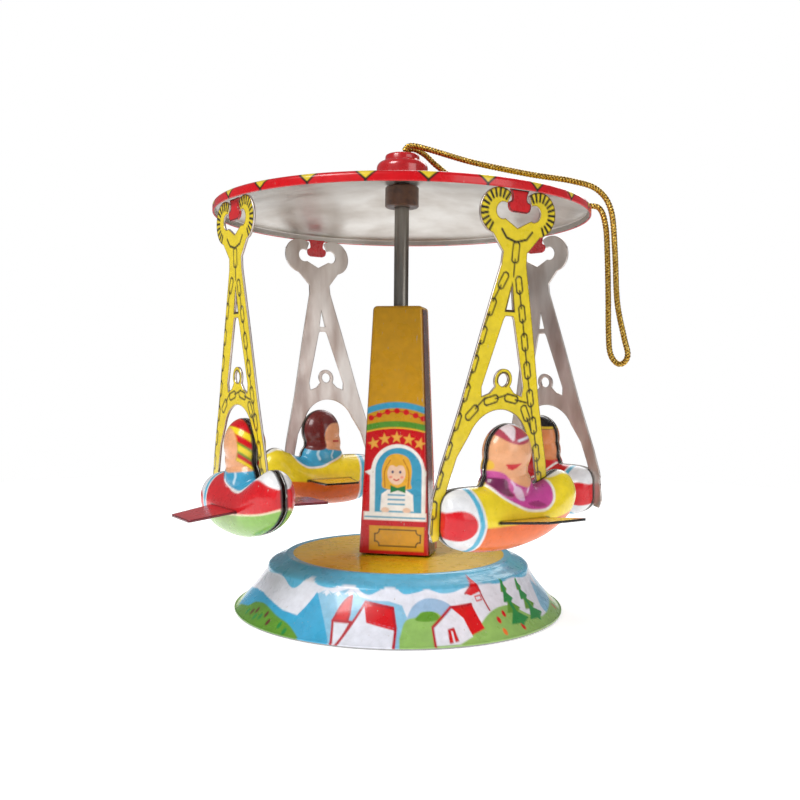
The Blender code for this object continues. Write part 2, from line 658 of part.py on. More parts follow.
def make_carousel():
    axis = empty("carousel_axis", Matrix.Identity(4))
    shaft = [(0, SHAFT_TOP_Z), (SHAFT_R, SHAFT_TOP_Z), (SHAFT_R, PIVOT_TOP_Z), (PIVOT_R, PIVOT_TOP_Z),
             (PIVOT_R, SHAFT_FOOT_Z), (0, SHAFT_FOOT_Z)]
    turned("carousel_shaft", shaft, 24, STEEL, axis)
    half_step = 180 / PINION_TEETH
    loops = [gear_loop(PINION_TEETH, 90 + half_step), circle(PIVOT_R + PRESS_GAP, count=12)]
    pinion_z = CROWN_Z + CROWN_TEETH * MODULE / 2
    part("shaft_pinion", plate_mesh("shaft_pinion", loops, 1.6 * MM), BRASS, axis,
         Matrix.Translation((0, 0, pinion_z)))
    retainer = ring_profile(SHAFT_R + PRESS_GAP, RETAINER_R, *RETAINER_Z)
    turned("shaft_retaining_ring", retainer, 20, STEEL, axis)
    turned("shaft_collar", ring_profile(SHAFT_R + PRESS_GAP, COLLAR_R, *COLLAR_Z), 28, BROWN, axis)
    make_canopy(axis)
    cap = [(CAP_HOLE_R, CAP_TOP_Z), (CAP_STEP_R - 0.4 * MM, CAP_TOP_Z), (CAP_STEP_R, CAP_TOP_Z - 0.4 * MM),
           (CAP_STEP_R + 0.1 * MM, CAP_STEP_Z), (CAP_R - 0.5 * MM, CAP_STEP_Z - 0.2 * MM),
           (CAP_R, CAP_STEP_Z - 0.8 * MM), (CAP_R, CAP_FOOT_Z)]
    turned("top_cap", sheet_loop(cap, TIN), 24, RED, axis)
    make_cord(axis)


def make_cord(axis):
    """The gold cord: up from the cap, out over the canopy, down, and back beside itself."""
    frame = Matrix((polar(CORD_AZIMUTH, 1), polar(CORD_AZIMUTH, 0, 1), Vector((0, 0, 1)))).transposed()
    route = [frame @ (Vector(p) * MM) for p in CORD_ROUTE_MM]
    ends = [2 * route[0] - route[1]] + route + [2 * route[-1] - route[-2]]
    dense = []
    for i in range(len(route) - 1):
        p0, p1, p2, p3 = ends[i:i + 4]
        for j in range(12):
            t = j / 12
            dense.append(0.5 * (2 * p1 + (p2 - p0) * t + (2 * p0 - 5 * p1 + 4 * p2 - p3) * t**2
                                + (3 * p1 - p0 - 3 * p2 + p3) * t**3))
    dense.append(route[-1])
    lengths = [0.0]
    for a, b in zip(dense, dense[1:]):
        lengths.append(lengths[-1] + (b - a).length)
    count = 66
    points, k = [], 0
    for i in range(count):
        want = lengths[-1] * i / (count - 1)
        while k < len(dense) - 2 and lengths[k + 1] < want:
            k += 1
        f = (want - lengths[k]) / (lengths[k + 1] - lengths[k])
        points.append(dense[k].lerp(dense[k + 1], min(f, 1.0)))
    curve = bpy.data.curves.new("hanging_cord", "CURVE")
    curve.dimensions = "3D"
    curve.bevel_depth = CORD_D / 2
    curve.bevel_resolution = 2
    curve.use_fill_caps = True
    spline = curve.splines.new("POLY")
    spline.points.add(count - 1)
    for target, p in zip(spline.points, points):
        target.co = (*p, 1.0)
    cord = bpy.data.objects.new("hanging_cord", curve)
    PARTS.objects.link(cord)
    curve.materials.append(GOLD)
    cord.parent = axis


# ---------------------------------------------------------------- swings
def leaned(x, z):
    """A point of the hanger, given about its own centre line, as it hangs."""
    return (x - LEAN * (SWING_Z - z), z - SWING_Z)


def leg(end_z):
    """One side of the hanger from its neck down the outside of a leg that ends at end_z, and up inside it."""
    return [(2.6 * MM, 66.6 * MM), (2.7 * MM, 64.6 * MM), (5.4 * MM, 54 * MM), (8.5 * MM, 41.0 * MM),
            (11.3 * MM, 31.0 * MM), (12.4 * MM, 26.0 * MM), (12.4 * MM, end_z + 1.6 * MM),
            (11.6 * MM, end_z), (10.4 * MM, end_z + 0.3 * MM), (10.1 * MM, 25.6 * MM),
            (9.4 * MM, 28.5 * MM), (8.3 * MM, 32.4 * MM)]


def hanger_loops():
    """The hanger's outline and its three openings, in the swing's frame."""
    claw_x, claw_z = CLAW_X, CLAW_Z
    r_in, r_out = CLAW_R
    claw = [(0.0, 70.6 * MM)]
    claw += arc(claw_x, claw_z, r_in, 245, 360 + 128, 10)
    claw += arc(claw_x, claw_z, r_out, 360 + 128, 282, 12)
    right = claw + leg(TAIL_LEG_Z) + arc(0, 33.6 * MM, 6.6 * MM, 22, 90, 6)
    left = claw[1:] + leg(NOSE_LEG_Z) + arc(0, 33.6 * MM, 6.6 * MM, 22, 90, 6)[:-1]
    outline = [leaned(x, z) for x, z in right] + [leaned(-x, z) for x, z in reversed(left)]
    slit = [(0, 61.0 * MM), (0.75 * MM, 57.0 * MM), (-0.75 * MM, 57.0 * MM)]
    ring_z, ring_r, eye_r = 45.2 * MM, 1.9 * MM, 1.1 * MM
    lobe = arc(0, ring_z, ring_r, -35, 215, 9)
    window = [(0, 55.6 * MM), (-4.5 * MM, 44.0 * MM), (-4.3 * MM, 42.4 * MM), (-2.6 * MM, 43.0 * MM)]
    window += [(x, z) for x, z in reversed(lobe)]
    window += [(2.6 * MM, 43.0 * MM), (4.3 * MM, 42.4 * MM), (4.5 * MM, 44.0 * MM)]
    eye = circle(eye_r, 0, ring_z, 10)
    return [outline] + [[leaned(x, z) for x, z in hole] for hole in (slit, window, eye)]


# The rocket's body by stations along its length: (place, underside, top, half width), all in mm
BODY_MM = (
    (-15.6, 20.4, 25.0, 2.2),
    (-14.6, 18.9, 26.4, 3.5),
    (-12.0, 17.4, 27.2, 4.5),
    (-6.5, 16.3, 27.4, 4.9),
    (0.0, 16.3, 27.0, 5.0),
    (5.5, 17.3, 27.3, 4.8),
    (8.8, 18.4, 28.5, 4.4),
    (11.2, 19.5, 29.5, 3.8),
    (13.2, 20.8, 29.0, 3.0),
    (15.0, 22.6, 27.2, 1.6),
)


def body_mesh(wall):
    """The rocket's body as a skin over oval sections, drawn in by wall."""
    rings = []
    sides = 12
    half_length = max(abs(BODY_MM[0][0]), BODY_MM[-1][0]) * MM
    for place, low, high, width in BODY_MM:
        x = place * MM * (1 - wall / half_length)
        centre = (low + high) / 2 * MM - SWING_Z
        half_h, half_w = (high - low) / 2 * MM - wall, width * MM - wall
        rings.append([
            Vector((x, centre + half_h * math.cos(TURN * k / sides), half_w * math.sin(TURN * k / sides)))
            for k in range(sides)
        ])
    return loft_mesh("body", rings, True, True)


def ball_mesh(name, centre, radii, wall, sides, rings):
    bm = bmesh.new()
    bmesh.ops.create_uvsphere(bm, u_segments=sides, v_segments=rings, radius=1.0)
    for v in bm.verts:
        x, y, z = v.co
        v.co = (centre[0] + x * (radii[0] - wall), centre[1] + z * (radii[1] - wall) - SWING_Z,
                centre[2] + y * (radii[2] - wall))
    bmesh.ops.recalc_face_normals(bm, faces=bm.faces)
    mesh = bpy.data.meshes.new(name)
    bm.to_mesh(mesh)
    bm.free()
    return mesh


def rocket_solid(name, wall):
    """Body, shoulders and head as one solid."""
    solid = cutter(name, body_mesh(wall))
    shoulders = ball_mesh("shoulders", (-0.2 * MM, 26.8 * MM, 0), (5.4 * MM, 4.4 * MM, 3.7 * MM), wall, 10, 6)
    head = ball_mesh("head", (-0.9 * MM, 33.0 * MM, 0), (4.7 * MM, 4.9 * MM, 3.6 * MM), wall, 12, 7)
    for piece in (shoulders, head):
        boolean(solid, cutter(piece.name, piece), "UNION")
    return solid


def shell_mesh(name, side):
    """Half of the rocket, pressed from sheet: side +1 is the outer half, -1 the inner half."""
    solid = rocket_solid(name, 0.0)
    hollow = rocket_solid(name + "_hollow", TIN)
    boolean(solid, hollow, "DIFFERENCE")
    near, far = sorted((side * SEAM, -side * 20 * MM))
    reach = 60 * MM
    boolean(solid, cutter("seam", box_mesh("seam", (-reach, -reach, near), (reach, reach, far))), "DIFFERENCE")
    low, high = WING_CHORD
    slot_z = WING_Z - SWING_Z
    half = TIN / 2 + GAP
    slot = box_mesh("wing_slot", (low - GAP, slot_z - half, -9 * MM), (high + GAP, slot_z + half, 9 * MM))
    boolean(solid, cutter("wing_slot", slot), "DIFFERENCE")
    return evaluated_mesh(solid, name)


def wing_mesh():
    """The plate through the rocket: level inside it, drooping a little outside it, with clipped corners."""
    half = WING_SPAN / 2
    clip = 0.4 * MM
    stations = [(WING_ROOT, *WING_CHORD), (half - clip, *WING_TIP),
                (half, WING_TIP[0] + clip, WING_TIP[1] - clip)]
    rings = []
    for side in (-1, 1):
        for across, low, high in stations[::side]:
            z = WING_Z - SWING_Z - (across - WING_ROOT) * math.tan(WING_DROOP)
            corners = ((low, -TIN / 2), (high, -TIN / 2), (high, TIN / 2), (low, TIN / 2))
            rings.append([Vector((x, z + rise, side * across)) for x, rise in corners])
    return loft_mesh("wing_plate", rings, True, True)


def make_swings():
    hanger = plate_mesh("hanger", hanger_loops(), TIN)
    outer, inner = shell_mesh("rocket_outer", 1), shell_mesh("rocket_inner", -1)
    wing = wing_mesh()
    for place, rest in SWINGS.items():
        hinge = empty("swing_hinge_" + place, swing_frame(*rest))
        yellow = place in ("front_right", "back_left")
        body = YELLOW if yellow else RED
        part("hanger_" + place, hanger, BARE_TIN, hinge)
        part("rocket_outer_shell_" + place, outer, body, hinge)
        part("rocket_inner_shell_" + place, inner, body, hinge)
        part("wing_plate_" + place, wing, body, hinge)


make_base()
make_tower()
make_frame()
make_mainspring()
make_winding()
make_crown()
make_carousel()
make_swings()
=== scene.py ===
"""Looks of the tin rocket carousel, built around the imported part. Metres, +Z up, the tower's front faces -Y.
Azimuth 0 is -Y and grows towards +X. The printed decoration is painted point by point on fine meshes: each
drawing function works in millimetres on the flat sheet, and the colours go into the mesh's "print" layer."""

import json
import math

import bmesh
import bpy
import numpy as np
from mathutils import Matrix, Vector
from mathutils.geometry import delaunay_2d_cdt

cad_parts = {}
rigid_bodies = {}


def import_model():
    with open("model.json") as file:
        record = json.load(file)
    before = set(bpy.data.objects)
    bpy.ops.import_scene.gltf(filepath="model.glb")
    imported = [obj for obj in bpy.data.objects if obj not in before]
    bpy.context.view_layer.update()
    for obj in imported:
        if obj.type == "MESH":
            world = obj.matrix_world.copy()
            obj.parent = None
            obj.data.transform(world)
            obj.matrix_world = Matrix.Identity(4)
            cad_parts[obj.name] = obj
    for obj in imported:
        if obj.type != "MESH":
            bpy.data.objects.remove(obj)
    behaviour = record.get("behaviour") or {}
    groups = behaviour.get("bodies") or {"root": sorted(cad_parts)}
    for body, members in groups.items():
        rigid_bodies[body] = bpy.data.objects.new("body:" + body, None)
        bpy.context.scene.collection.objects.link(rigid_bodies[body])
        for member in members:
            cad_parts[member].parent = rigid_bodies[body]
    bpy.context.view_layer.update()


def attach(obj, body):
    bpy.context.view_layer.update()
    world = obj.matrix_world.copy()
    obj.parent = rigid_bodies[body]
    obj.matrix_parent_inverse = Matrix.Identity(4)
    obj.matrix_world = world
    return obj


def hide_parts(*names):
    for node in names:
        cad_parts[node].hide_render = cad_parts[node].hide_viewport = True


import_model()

MM = 0.001
TURN = 2 * math.pi
TIN = 0.4  # sheet thickness; all lengths below are millimetres unless MM multiplies them


def new_object(name, data):
    obj = bpy.data.objects.new(name, data)
    bpy.context.scene.collection.objects.link(obj)
    return obj


# ---- camera
CAMERA_AZIMUTH = math.radians(11.5)
CAMERA_DISTANCE = 185.4
CAMERA_HEIGHT = 45.4
CAMERA_PITCH = math.radians(-1.36)
CAMERA_ROLL = math.radians(0.57)
CAMERA_LENS = 41.7


def make_camera():
    data = bpy.data.cameras.new("camera")
    data.lens = CAMERA_LENS
    data.clip_start = 0.01
    camera = new_object("camera", data)
    a = CAMERA_AZIMUTH
    place = Vector((CAMERA_DISTANCE * math.sin(a), -CAMERA_DISTANCE * math.cos(a), CAMERA_HEIGHT)) * MM
    turn = Matrix.Rotation(a, 4, "Z") @ Matrix.Rotation(math.pi / 2 + CAMERA_PITCH, 4, "X")
    camera.matrix_world = Matrix.Translation(place) @ turn @ Matrix.Rotation(CAMERA_ROLL, 4, "Z")
    bpy.context.scene.camera = camera


make_camera()


# ---- colours
def srgb(red, green, blue):
    """Linear colour of an sRGB colour given in 0..255."""
    out = []
    for c in (red, green, blue):
        c /= 255
        out.append(c / 12.92 if c <= 0.04045 else ((c + 0.055) / 1.055) ** 2.4)
    return tuple(out)


WHITE = srgb(222, 224, 234)
BLACK = srgb(22, 17, 16)
RED = srgb(206, 4, 18)
DARK_RED = srgb(110, 14, 32)
OUTLINE_RED = srgb(176, 16, 34)
MARK_RED = srgb(206, 20, 28)
ORANGE = srgb(228, 112, 40)
YELLOW = srgb(240, 214, 30)
GOLD = srgb(232, 190, 20)
AMBER = srgb(230, 180, 40)
SKY = srgb(92, 178, 212)
DEEP_BLUE = srgb(58, 164, 206)
CYAN = srgb(62, 160, 198)
PALE_BLUE = srgb(136, 188, 216)
LEAF = srgb(96, 150, 44)
PALE_GREEN = srgb(142, 184, 96)
FIR = srgb(40, 138, 66)
SKIN = srgb(232, 168, 122)
BROWN = srgb(96, 48, 34)
HAIR = srgb(236, 178, 50)
PALE_SKIN = srgb(246, 208, 180)
LIP = srgb(190, 30, 40)
PINK = srgb(196, 70, 150)
PLUM = srgb(110, 30, 78)


# ---- drawing on a flat sheet
def smooth_line(points, per_span=6, closed=False):
    """A Catmull-Rom curve through the points."""
    pts = [np.array(p, float) for p in points]
    if closed:
        pts = [pts[-1]] + pts + pts[:2]
    else:
        pts = [2 * pts[0] - pts[1]] + pts + [2 * pts[-1] - pts[-2]]
    out = []
    for p0, p1, p2, p3 in zip(pts, pts[1:], pts[2:], pts[3:]):
        for j in range(per_span):
            t = j / per_span
            bend = 2 * p0 - 5 * p1 + 4 * p2 - p3
            twist = 3 * p1 - p0 - 3 * p2 + p3
            out.append(0.5 * (2 * p1 + (p2 - p0) * t + bend * t**2 + twist * t**3))
    if not closed:
        out.append(pts[-2])
    return np.array(out)


def run_along(points):
    """The distance along a line at each of its points."""
    return np.concatenate([[0], np.cumsum(np.linalg.norm(np.diff(points, axis=0), axis=1))])


def arc(cx, cy, radius, start, end, count):
    """Points along an arc, angles in degrees, anticlockwise if end > start."""
    angles = np.radians(np.linspace(start, end, count))
    return [(cx + radius * math.cos(a), cy + radius * math.sin(a)) for a in angles]


class Canvas:
    """Colours for a set of flat points, drawn over one another in order, with soft edges."""

    def __init__(self, points, ground, soft=0.12, unit=(1, 1)):
        """unit is the size in millimetres of one step of x and y in what is drawn."""
        self.unit = np.array(unit, float)
        self.shift = 0.0
        self.p = np.array(points, float) * self.unit
        self.rgb = np.tile(np.array(ground, float), (len(self.p), 1))
        self.soft = soft

    def _placed(self, points):
        return (np.array(points, float) + (self.shift, 0)) * self.unit

    def _near(self, points, margin=0.5):
        near = (self.p > points.min(0) - margin) & (self.p < points.max(0) + margin)
        return np.nonzero(near.all(axis=1))[0]

    def _blend(self, chosen, distance, colour):
        """Colours the chosen points where the signed distance is negative."""
        share = np.clip(0.5 - distance / self.soft, 0, 1)[:, None]
        self.rgb[chosen] = self.rgb[chosen] * (1 - share) + np.array(colour) * share

    @staticmethod
    def _to_segments(p, a, b):
        """Distance of each point to the nearest of the segments a-b."""
        best = np.full(len(p), 1e9)
        for start, end in zip(a, b):
            along = end - start
            t = np.clip(((p - start) @ along) / max(along @ along, 1e-12), 0, 1)
            best = np.minimum(best, np.linalg.norm(p - start - t[:, None] * along, axis=1))
        return best

    def area(self, colour, outline):
        pts = self._placed(outline)
        chosen = self._near(pts)
        p = self.p[chosen]
        nxt = np.roll(pts, -1, axis=0)
        inside = np.zeros(len(p), bool)
        for (x0, y0), (x1, y1) in zip(pts, nxt):
            if y0 != y1:
                at = x0 + (p[:, 1] - y0) * (x1 - x0) / (y1 - y0)
                inside ^= ((y0 > p[:, 1]) != (y1 > p[:, 1])) & (p[:, 0] < at)
        distance = self._to_segments(p, pts, nxt)
        self._blend(chosen, np.where(inside, -distance, distance), colour)
        return self

    def line(self, colour, points, width, closed=False):
        pts = self._placed(points)
        chosen = self._near(pts, 0.5 + width)
        a, b = (pts, np.roll(pts, -1, axis=0)) if closed else (pts[:-1], pts[1:])
        self._blend(chosen, self._to_segments(self.p[chosen], a, b) - width / 2, colour)

    def oval(self, colour, centre, radii):
        c, r = self._placed(centre), np.array(radii, float) * self.unit
        chosen = self._near(np.array([c - r, c + r]))
        distance = (np.linalg.norm((self.p[chosen] - c) / r, axis=1) - 1) * r.min()
        self._blend(chosen, distance, colour)

    def blob(self, colour, points):
        """An area with a smooth outline."""
        self.area(colour, smooth_line(points, closed=True))

    def stroke(self, colour, points, width):
        """A smooth line."""
        self.line(colour, smooth_line(points), width)

    def outlined(self, colour, edge, outline, width):
        self.area(colour, outline).line(edge, outline, width, closed=True)

    def above(self, colour, line):
        """Everything over an open line."""
        top = self.p[:, 1].max() + 1
        self.area(colour, [*line, (line[-1][0], top), (line[0][0], top)])

    def below(self, colour, line):
        low = self.p[:, 1].min() - 1
        self.area(colour, [*line, (line[-1][0], low), (line[0][0], low)])


def star(centre, radius, tilt=0.0):
    """The outline of a star with five points."""
    out = []
    for k in range(10):
        r = radius if k % 2 == 0 else radius * 0.42
        a = math.radians(90 + tilt) + k * math.pi / 5
        out.append((centre[0] + r * math.cos(a), centre[1] + r * math.sin(a)))
    return out


# ---- meshes
def link(name, mesh, materials, body, replaces=(), smooth=35):
    obj = new_object(name, mesh)
    for mat in materials:
        mesh.materials.append(mat)
    mesh.shade_smooth()
    mesh.set_sharp_from_angle(angle=math.radians(smooth))
    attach(obj, body)
    if replaces:
        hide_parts(*replaces)
    return obj


def mesh_of(name, points, faces, welded=0.0):
    """A mesh from points in millimetres."""
    mesh = bpy.data.meshes.new(name)
    mesh.from_pydata([tuple(p) for p in np.asarray(points, float) * MM], [], faces)
    if welded:
        bm = bmesh.new()
        bm.from_mesh(mesh)
        bmesh.ops.remove_doubles(bm, verts=bm.verts, dist=welded * MM)
        bm.to_mesh(mesh)
        bm.free()
    mesh.update()
    return mesh


def points_of(mesh):
    """A mesh's points in millimetres."""
    return np.array([tuple(v.co) for v in mesh.vertices]) / MM


def grid_faces(rows, columns, closed=False):
    """Quads over rows of points; closed joins each row's end to its start."""
    faces = []
    for i in range(rows - 1):
        for j in range(columns if closed else columns - 1):
            k = (j + 1) % columns
            a, b = i * columns, (i + 1) * columns
            faces.append((a + j, a + k, b + k, b + j))
    return faces


def write_print(mesh, colours):
    layer = mesh.color_attributes.new("print", "FLOAT_COLOR", "POINT")
    rgba = np.ones((len(mesh.vertices), 4), np.float32)
    rgba[:, :3] = colours
    layer.data.foreach_set("color", rgba.ravel())


def turned_points(profile, steps):
    """Points of a profile of (radius, height) turned about the axis: row after row, from azimuth 0."""
    azimuth = np.linspace(0, TURN, steps, endpoint=False)
    profile = np.array(profile, float)
    x = profile[:, :1] * np.sin(azimuth)
    y = -profile[:, :1] * np.cos(azimuth)
    z = np.repeat(profile[:, 1:], steps, axis=1)
    return np.stack([x, y, z], axis=2).reshape(-1, 3)


def polar(points):
    """Azimuth in degrees and radius of each point."""
    return np.degrees(np.arctan2(points[:, 0], -points[:, 1])), np.hypot(points[:, 0], points[:, 1])


def turned_mesh(name, profile, steps):
    """A closed ring profile, given anticlockwise, turned into a mesh."""
    points = turned_points(profile, steps)
    faces = grid_faces(len(profile), steps, closed=True)
    last = (len(profile) - 1) * steps
    faces += [(last + j, last + (j + 1) % steps, (j + 1) % steps, j) for j in range(steps)]
    return mesh_of(name, points, faces)


# ---- materials
def new_material(name):
    mat = bpy.data.materials.new(name)
    mat.use_nodes = True
    tree = mat.node_tree
    return mat, tree, tree.nodes["Principled BSDF"]


def put(tree, shader, inputs):
    """Fills a node's inputs, each with a value or from a socket."""
    for key, value in inputs.items():
        if isinstance(value, bpy.types.NodeSocket):
            tree.links.new(value, shader.inputs[key])
        else:
            shader.inputs[key].default_value = value


def node(tree, kind, inputs, **settings):
    """A new shader node, with its inputs by name or number."""
    made = tree.nodes.new("ShaderNode" + kind)
    for key, value in settings.items():
        setattr(made, key, value)
    put(tree, made, inputs)
    return made


def noise(tree, scale, detail, stretch=(1, 1, 1)):
    """Noise in object space; scale is in features per metre."""
    place = node(tree, "TexCoord", {}).outputs["Object"]
    place = node(tree, "Mapping", {"Vector": place, "Scale": stretch}).outputs["Vector"]
    return node(tree, "TexNoise", {"Vector": place, "Scale": scale, "Detail": detail}).outputs["Fac"]


def spread(tree, value, low, high, out_low=0.0, out_high=1.0):
    """The span from low to high stretched over another one."""
    span = {"Value": value, "From Min": low, "From Max": high, "To Min": out_low, "To Max": out_high}
    return node(tree, "MapRange", span).outputs["Result"]


MIX_FACTOR, MIX_A, MIX_B, MIX_RESULT = 0, 6, 7, 2  # the mix node's sockets for colours


def mixed(tree, share, first, second, mode="MIX"):
    """A colour mix; each colour is a socket or a tuple."""
    first, second = [(*c, 1.0) if isinstance(c, tuple) else c for c in (first, second)]
    inputs = {MIX_FACTOR: share, MIX_A: first, MIX_B: second}
    return node(tree, "Mix", inputs, data_type="RGBA", blend_type=mode).outputs[MIX_RESULT]


def bumped(tree, shader, heights, distance, strength):
    """Bump from a height socket, its depth in metres."""
    bump = node(tree, "Bump", {"Strength": strength, "Distance": distance, "Height": heights})
    put(tree, shader, {"Normal": bump.outputs["Normal"]})


def ink(tree):
    return node(tree, "Attribute", {}, attribute_name="print").outputs["Color"]


def printed_material(name):
    """Lithographed tin: the printed colours, slightly mottled ink and a clear lacquer."""
    mat, tree, shader = new_material(name)
    mottle = spread(tree, noise(tree, 700, 4), 0.3, 0.7, 0.90, 1.06)
    grey = node(tree, "CombineColor", {"Red": mottle, "Green": mottle, "Blue": mottle}).outputs["Color"]
    colour = mixed(tree, 1.0, ink(tree), grey, "MULTIPLY")
    scuffs = spread(tree, noise(tree, 2600, 6, (1, 1, 0.25)), 0.69, 0.76)
    put(tree, shader, {
        "Base Color": mixed(tree, scuffs, colour, srgb(178, 170, 160)),
        "Roughness": spread(tree, noise(tree, 420, 3), 0.3, 0.75, 0.22, 0.42),
        "Specular IOR Level": 0.35,
        "Coat Weight": 0.35,
        "Coat Roughness": 0.08,
    })
    bumped(tree, shader, noise(tree, 260, 2), 0.00012, 0.35)
    return mat


def plain_material(name, colour, stain, low_rough, high_rough, metallic=1.0, coat=0.0, scale=500,
                   stretch=(1, 1, 1), depth=0.00005):
    """One colour with a stain in it, uneven gloss and a slightly uneven surface."""
    mat, tree, shader = new_material(name)
    patches = spread(tree, noise(tree, scale, 5, stretch), 0.35, 0.72)
    put(tree, shader, {
        "Base Color": mixed(tree, patches, colour, stain),
        "Roughness": spread(tree, noise(tree, scale * 1.7, 4, stretch), 0.3, 0.7, low_rough, high_rough),
        "Metallic": metallic,
        "Coat Weight": coat,
        "Coat Roughness": 0.08,
    })
    bumped(tree, shader, noise(tree, scale * 1.3, 3, stretch), depth, 0.4)
    return mat


def cord_material():
    """Metallised gold yarn: fine crossing threads; its colours are painted highlight on the crowns and painted
    shade between them, with pale glints painted in at random.
    """
    mat, tree, shader = new_material("gold_yarn")
    # Painted glints: spots of pale gold mixed into the colour by noise.
    painted_glints = spread(tree, noise(tree, 5200, 2), 0.52, 0.64)
    colour = mixed(tree, painted_glints, ink(tree), srgb(255, 226, 130))
    put(tree, shader, {"Base Color": colour, "Metallic": 0.85, "Roughness": 0.32})
    bumped(tree, shader, noise(tree, 7000, 2), 0.00006, 0.6)
    return mat


PRINTED = printed_material("printed_tin")
BARE_TIN = plain_material("bare_tin", srgb(206, 202, 196), srgb(180, 172, 163), 0.30, 0.46, scale=120,
    stretch=(1, 1, 0.5), depth=0.0001)
DULL_TIN = plain_material("dull_tin", srgb(224, 217, 211), srgb(178, 160, 150), 0.3, 0.5, scale=240,
    stretch=(1, 1, 0.3))
STEEL = plain_material("drawn_steel", srgb(150, 147, 140), srgb(96, 88, 78), 0.28, 0.42, stretch=(1, 1, 0.08))
BRASS = plain_material("brass", srgb(214, 174, 92), srgb(170, 124, 60), 0.25, 0.4)
SPRING_STEEL = plain_material("blued_steel", srgb(84, 90, 112), srgb(60, 56, 66), 0.25, 0.4)
# Painted shade: the collar is bare metal in the canopy's shadow, reflecting the dark underside, and is given as
# a non-metal dark brown instead.
COLLAR_SHADE_BROWN = plain_material("collar_shade_brown", srgb(92, 56, 34), srgb(58, 34, 22), 0.3, 0.5, 0.0, 0.3, 700)
RED_LACQUER = plain_material("red_lacquer", srgb(206, 22, 30), srgb(176, 14, 24), 0.2, 0.34, 0.0, 0.7)
GOLD_YARN = cord_material()


# ---- hanging cord
CORD_D = 1.2
CORD_AZIMUTH = math.radians(100.5)
CORD_ROUTE = (  # (outwards, sideways, height)
    (0.3, -0.8, 90.3), (1.6, -1.0, 91.3), (5.0, -1.3, 90.6), (14.0, -1.5, 88.0),
    (25.0, -1.4, 85.8), (33.5, -1.0, 84.6), (38.6, -0.6, 83.0), (41.4, -0.4, 79.0),
    (42.3, -0.4, 71.0), (42.9, -0.4, 61.0), (44.3, -0.6, 54.0), (45.1, -0.6, 50.6),
    (44.5, 0.0, 48.9), (43.2, 0.5, 48.8), (41.9, 0.7, 50.8), (41.5, 0.7, 55.0),
    (41.3, 0.5, 62.0), (41.0, 0.4, 70.0), (40.6, 0.6, 76.0), (39.4, 1.0, 79.6),
    (36.6, 1.5, 80.3), (30.0, 2.5, 81.6), (20.0, 2.9, 83.6), (11.0, 2.6, 85.6),
    (7.0, 2.0, 88.0), (4.4, 1.5, 90.2), (2.0, 1.1, 91.2), (0.3, 0.8, 90.3),
)
CORD_PLIES = 3
CORD_LAY = 1.9  # length of one twist of the plies
CORD_STEP = 0.09
CORD_SIDES = 30


def make_cord():
    """A three-ply twisted cord as one tube whose section has the plies' lobes, turning along its line."""
    a = CORD_AZIMUTH
    out, side = np.array((math.sin(a), -math.cos(a), 0)), np.array((math.cos(a), math.sin(a), 0))
    up = np.array((0, 0, 1.0))
    route = [o * out + s * side + z * up for o, s, z in CORD_ROUTE]
    dense = smooth_line(route, 40)
    along = run_along(dense)
    length = along[-1]
    count = int(length / CORD_STEP)
    at = np.linspace(0, length, count)
    line = np.stack([np.interp(at, along, dense[:, k]) for k in range(3)], axis=1)
    tangent = np.gradient(line, axis=0)
    tangent /= np.linalg.norm(tangent, axis=1)[:, None]
    normal = np.cross(tangent[0], (0.3, 0.5, 0.8))
    rows = []
    angle = np.linspace(0, TURN, CORD_SIDES, endpoint=False)
    colours = []
    for i in range(count):
        normal = normal - (normal @ tangent[i]) * tangent[i]
        normal /= np.linalg.norm(normal)
        across = np.cross(tangent[i], normal)
        phase = CORD_PLIES * (angle - TURN * at[i] / CORD_LAY)
        lobe = np.abs(np.cos(phase / 2))
        threads = 0.5 + 0.5 * np.cos(5 * angle + TURN * at[i] / 0.55)
        radius = CORD_D / 2 * (0.72 + 0.22 * np.sqrt(lobe) + 0.06 * threads)
        around = np.cos(angle)[:, None] * normal + np.sin(angle)[:, None] * across
        rows.append(line[i] + radius[:, None] * around)
        # Painted highlight and shade: the plies' crowns are painted bright gold as if lit, and the grooves
        # between them dark brown as if in shade.
        painted_highlight_share = np.clip(lobe * 1.5 - 0.5, 0, 1)[:, None] * (0.3 + 0.7 * threads[:, None])
        colours.append((1 - painted_highlight_share) * np.array(srgb(84, 44, 6)) + painted_highlight_share * np.array(srgb(236, 180, 50)))
    points = np.concatenate(rows + [line[:1], line[-1:]])
    faces = grid_faces(count, CORD_SIDES, closed=True)
    first, last = count * CORD_SIDES, count * CORD_SIDES + 1
    for j in range(CORD_SIDES):
        k = (j + 1) % CORD_SIDES
        faces.append((k, j, first))
        faces.append(((count - 1) * CORD_SIDES + j, (count - 1) * CORD_SIDES + k, last))
    mesh = mesh_of("gold_cord", points, faces)
    write_print(mesh, np.concatenate(colours + [colours[0][:1], colours[-1][:1]]))
    cord = link("gold_cord", mesh, [GOLD_YARN], "carousel", ["hanging_cord"], smooth=80)


make_cord()


# ---- base
FOOT_R = 32.4
SHOULDER_R = 25.8
SHOULDER_Z = 8.6
DECK_R = 22.4
DECK_Z = 10.6
SKIRT_FLARE = 1.35
SKIRT_FOOT_Z = 0.5
BASE_STEPS = 1150
SKIRT_DEGREE = 0.5  # millimetres of skirt to a degree of azimuth
DECK_PRINT_R = 21.0
SKIRT_ROWS = 52


def inset(line, depth):
    """The line moved to its right-hand side by depth: down the outside of a turned shape this is inwards."""
    pts = np.array(line, float)
    along = np.gradient(pts, axis=0)
    along /= np.linalg.norm(along, axis=1)[:, None]
    return pts + depth * np.stack([along[:, 1], -along[:, 0]], axis=1)


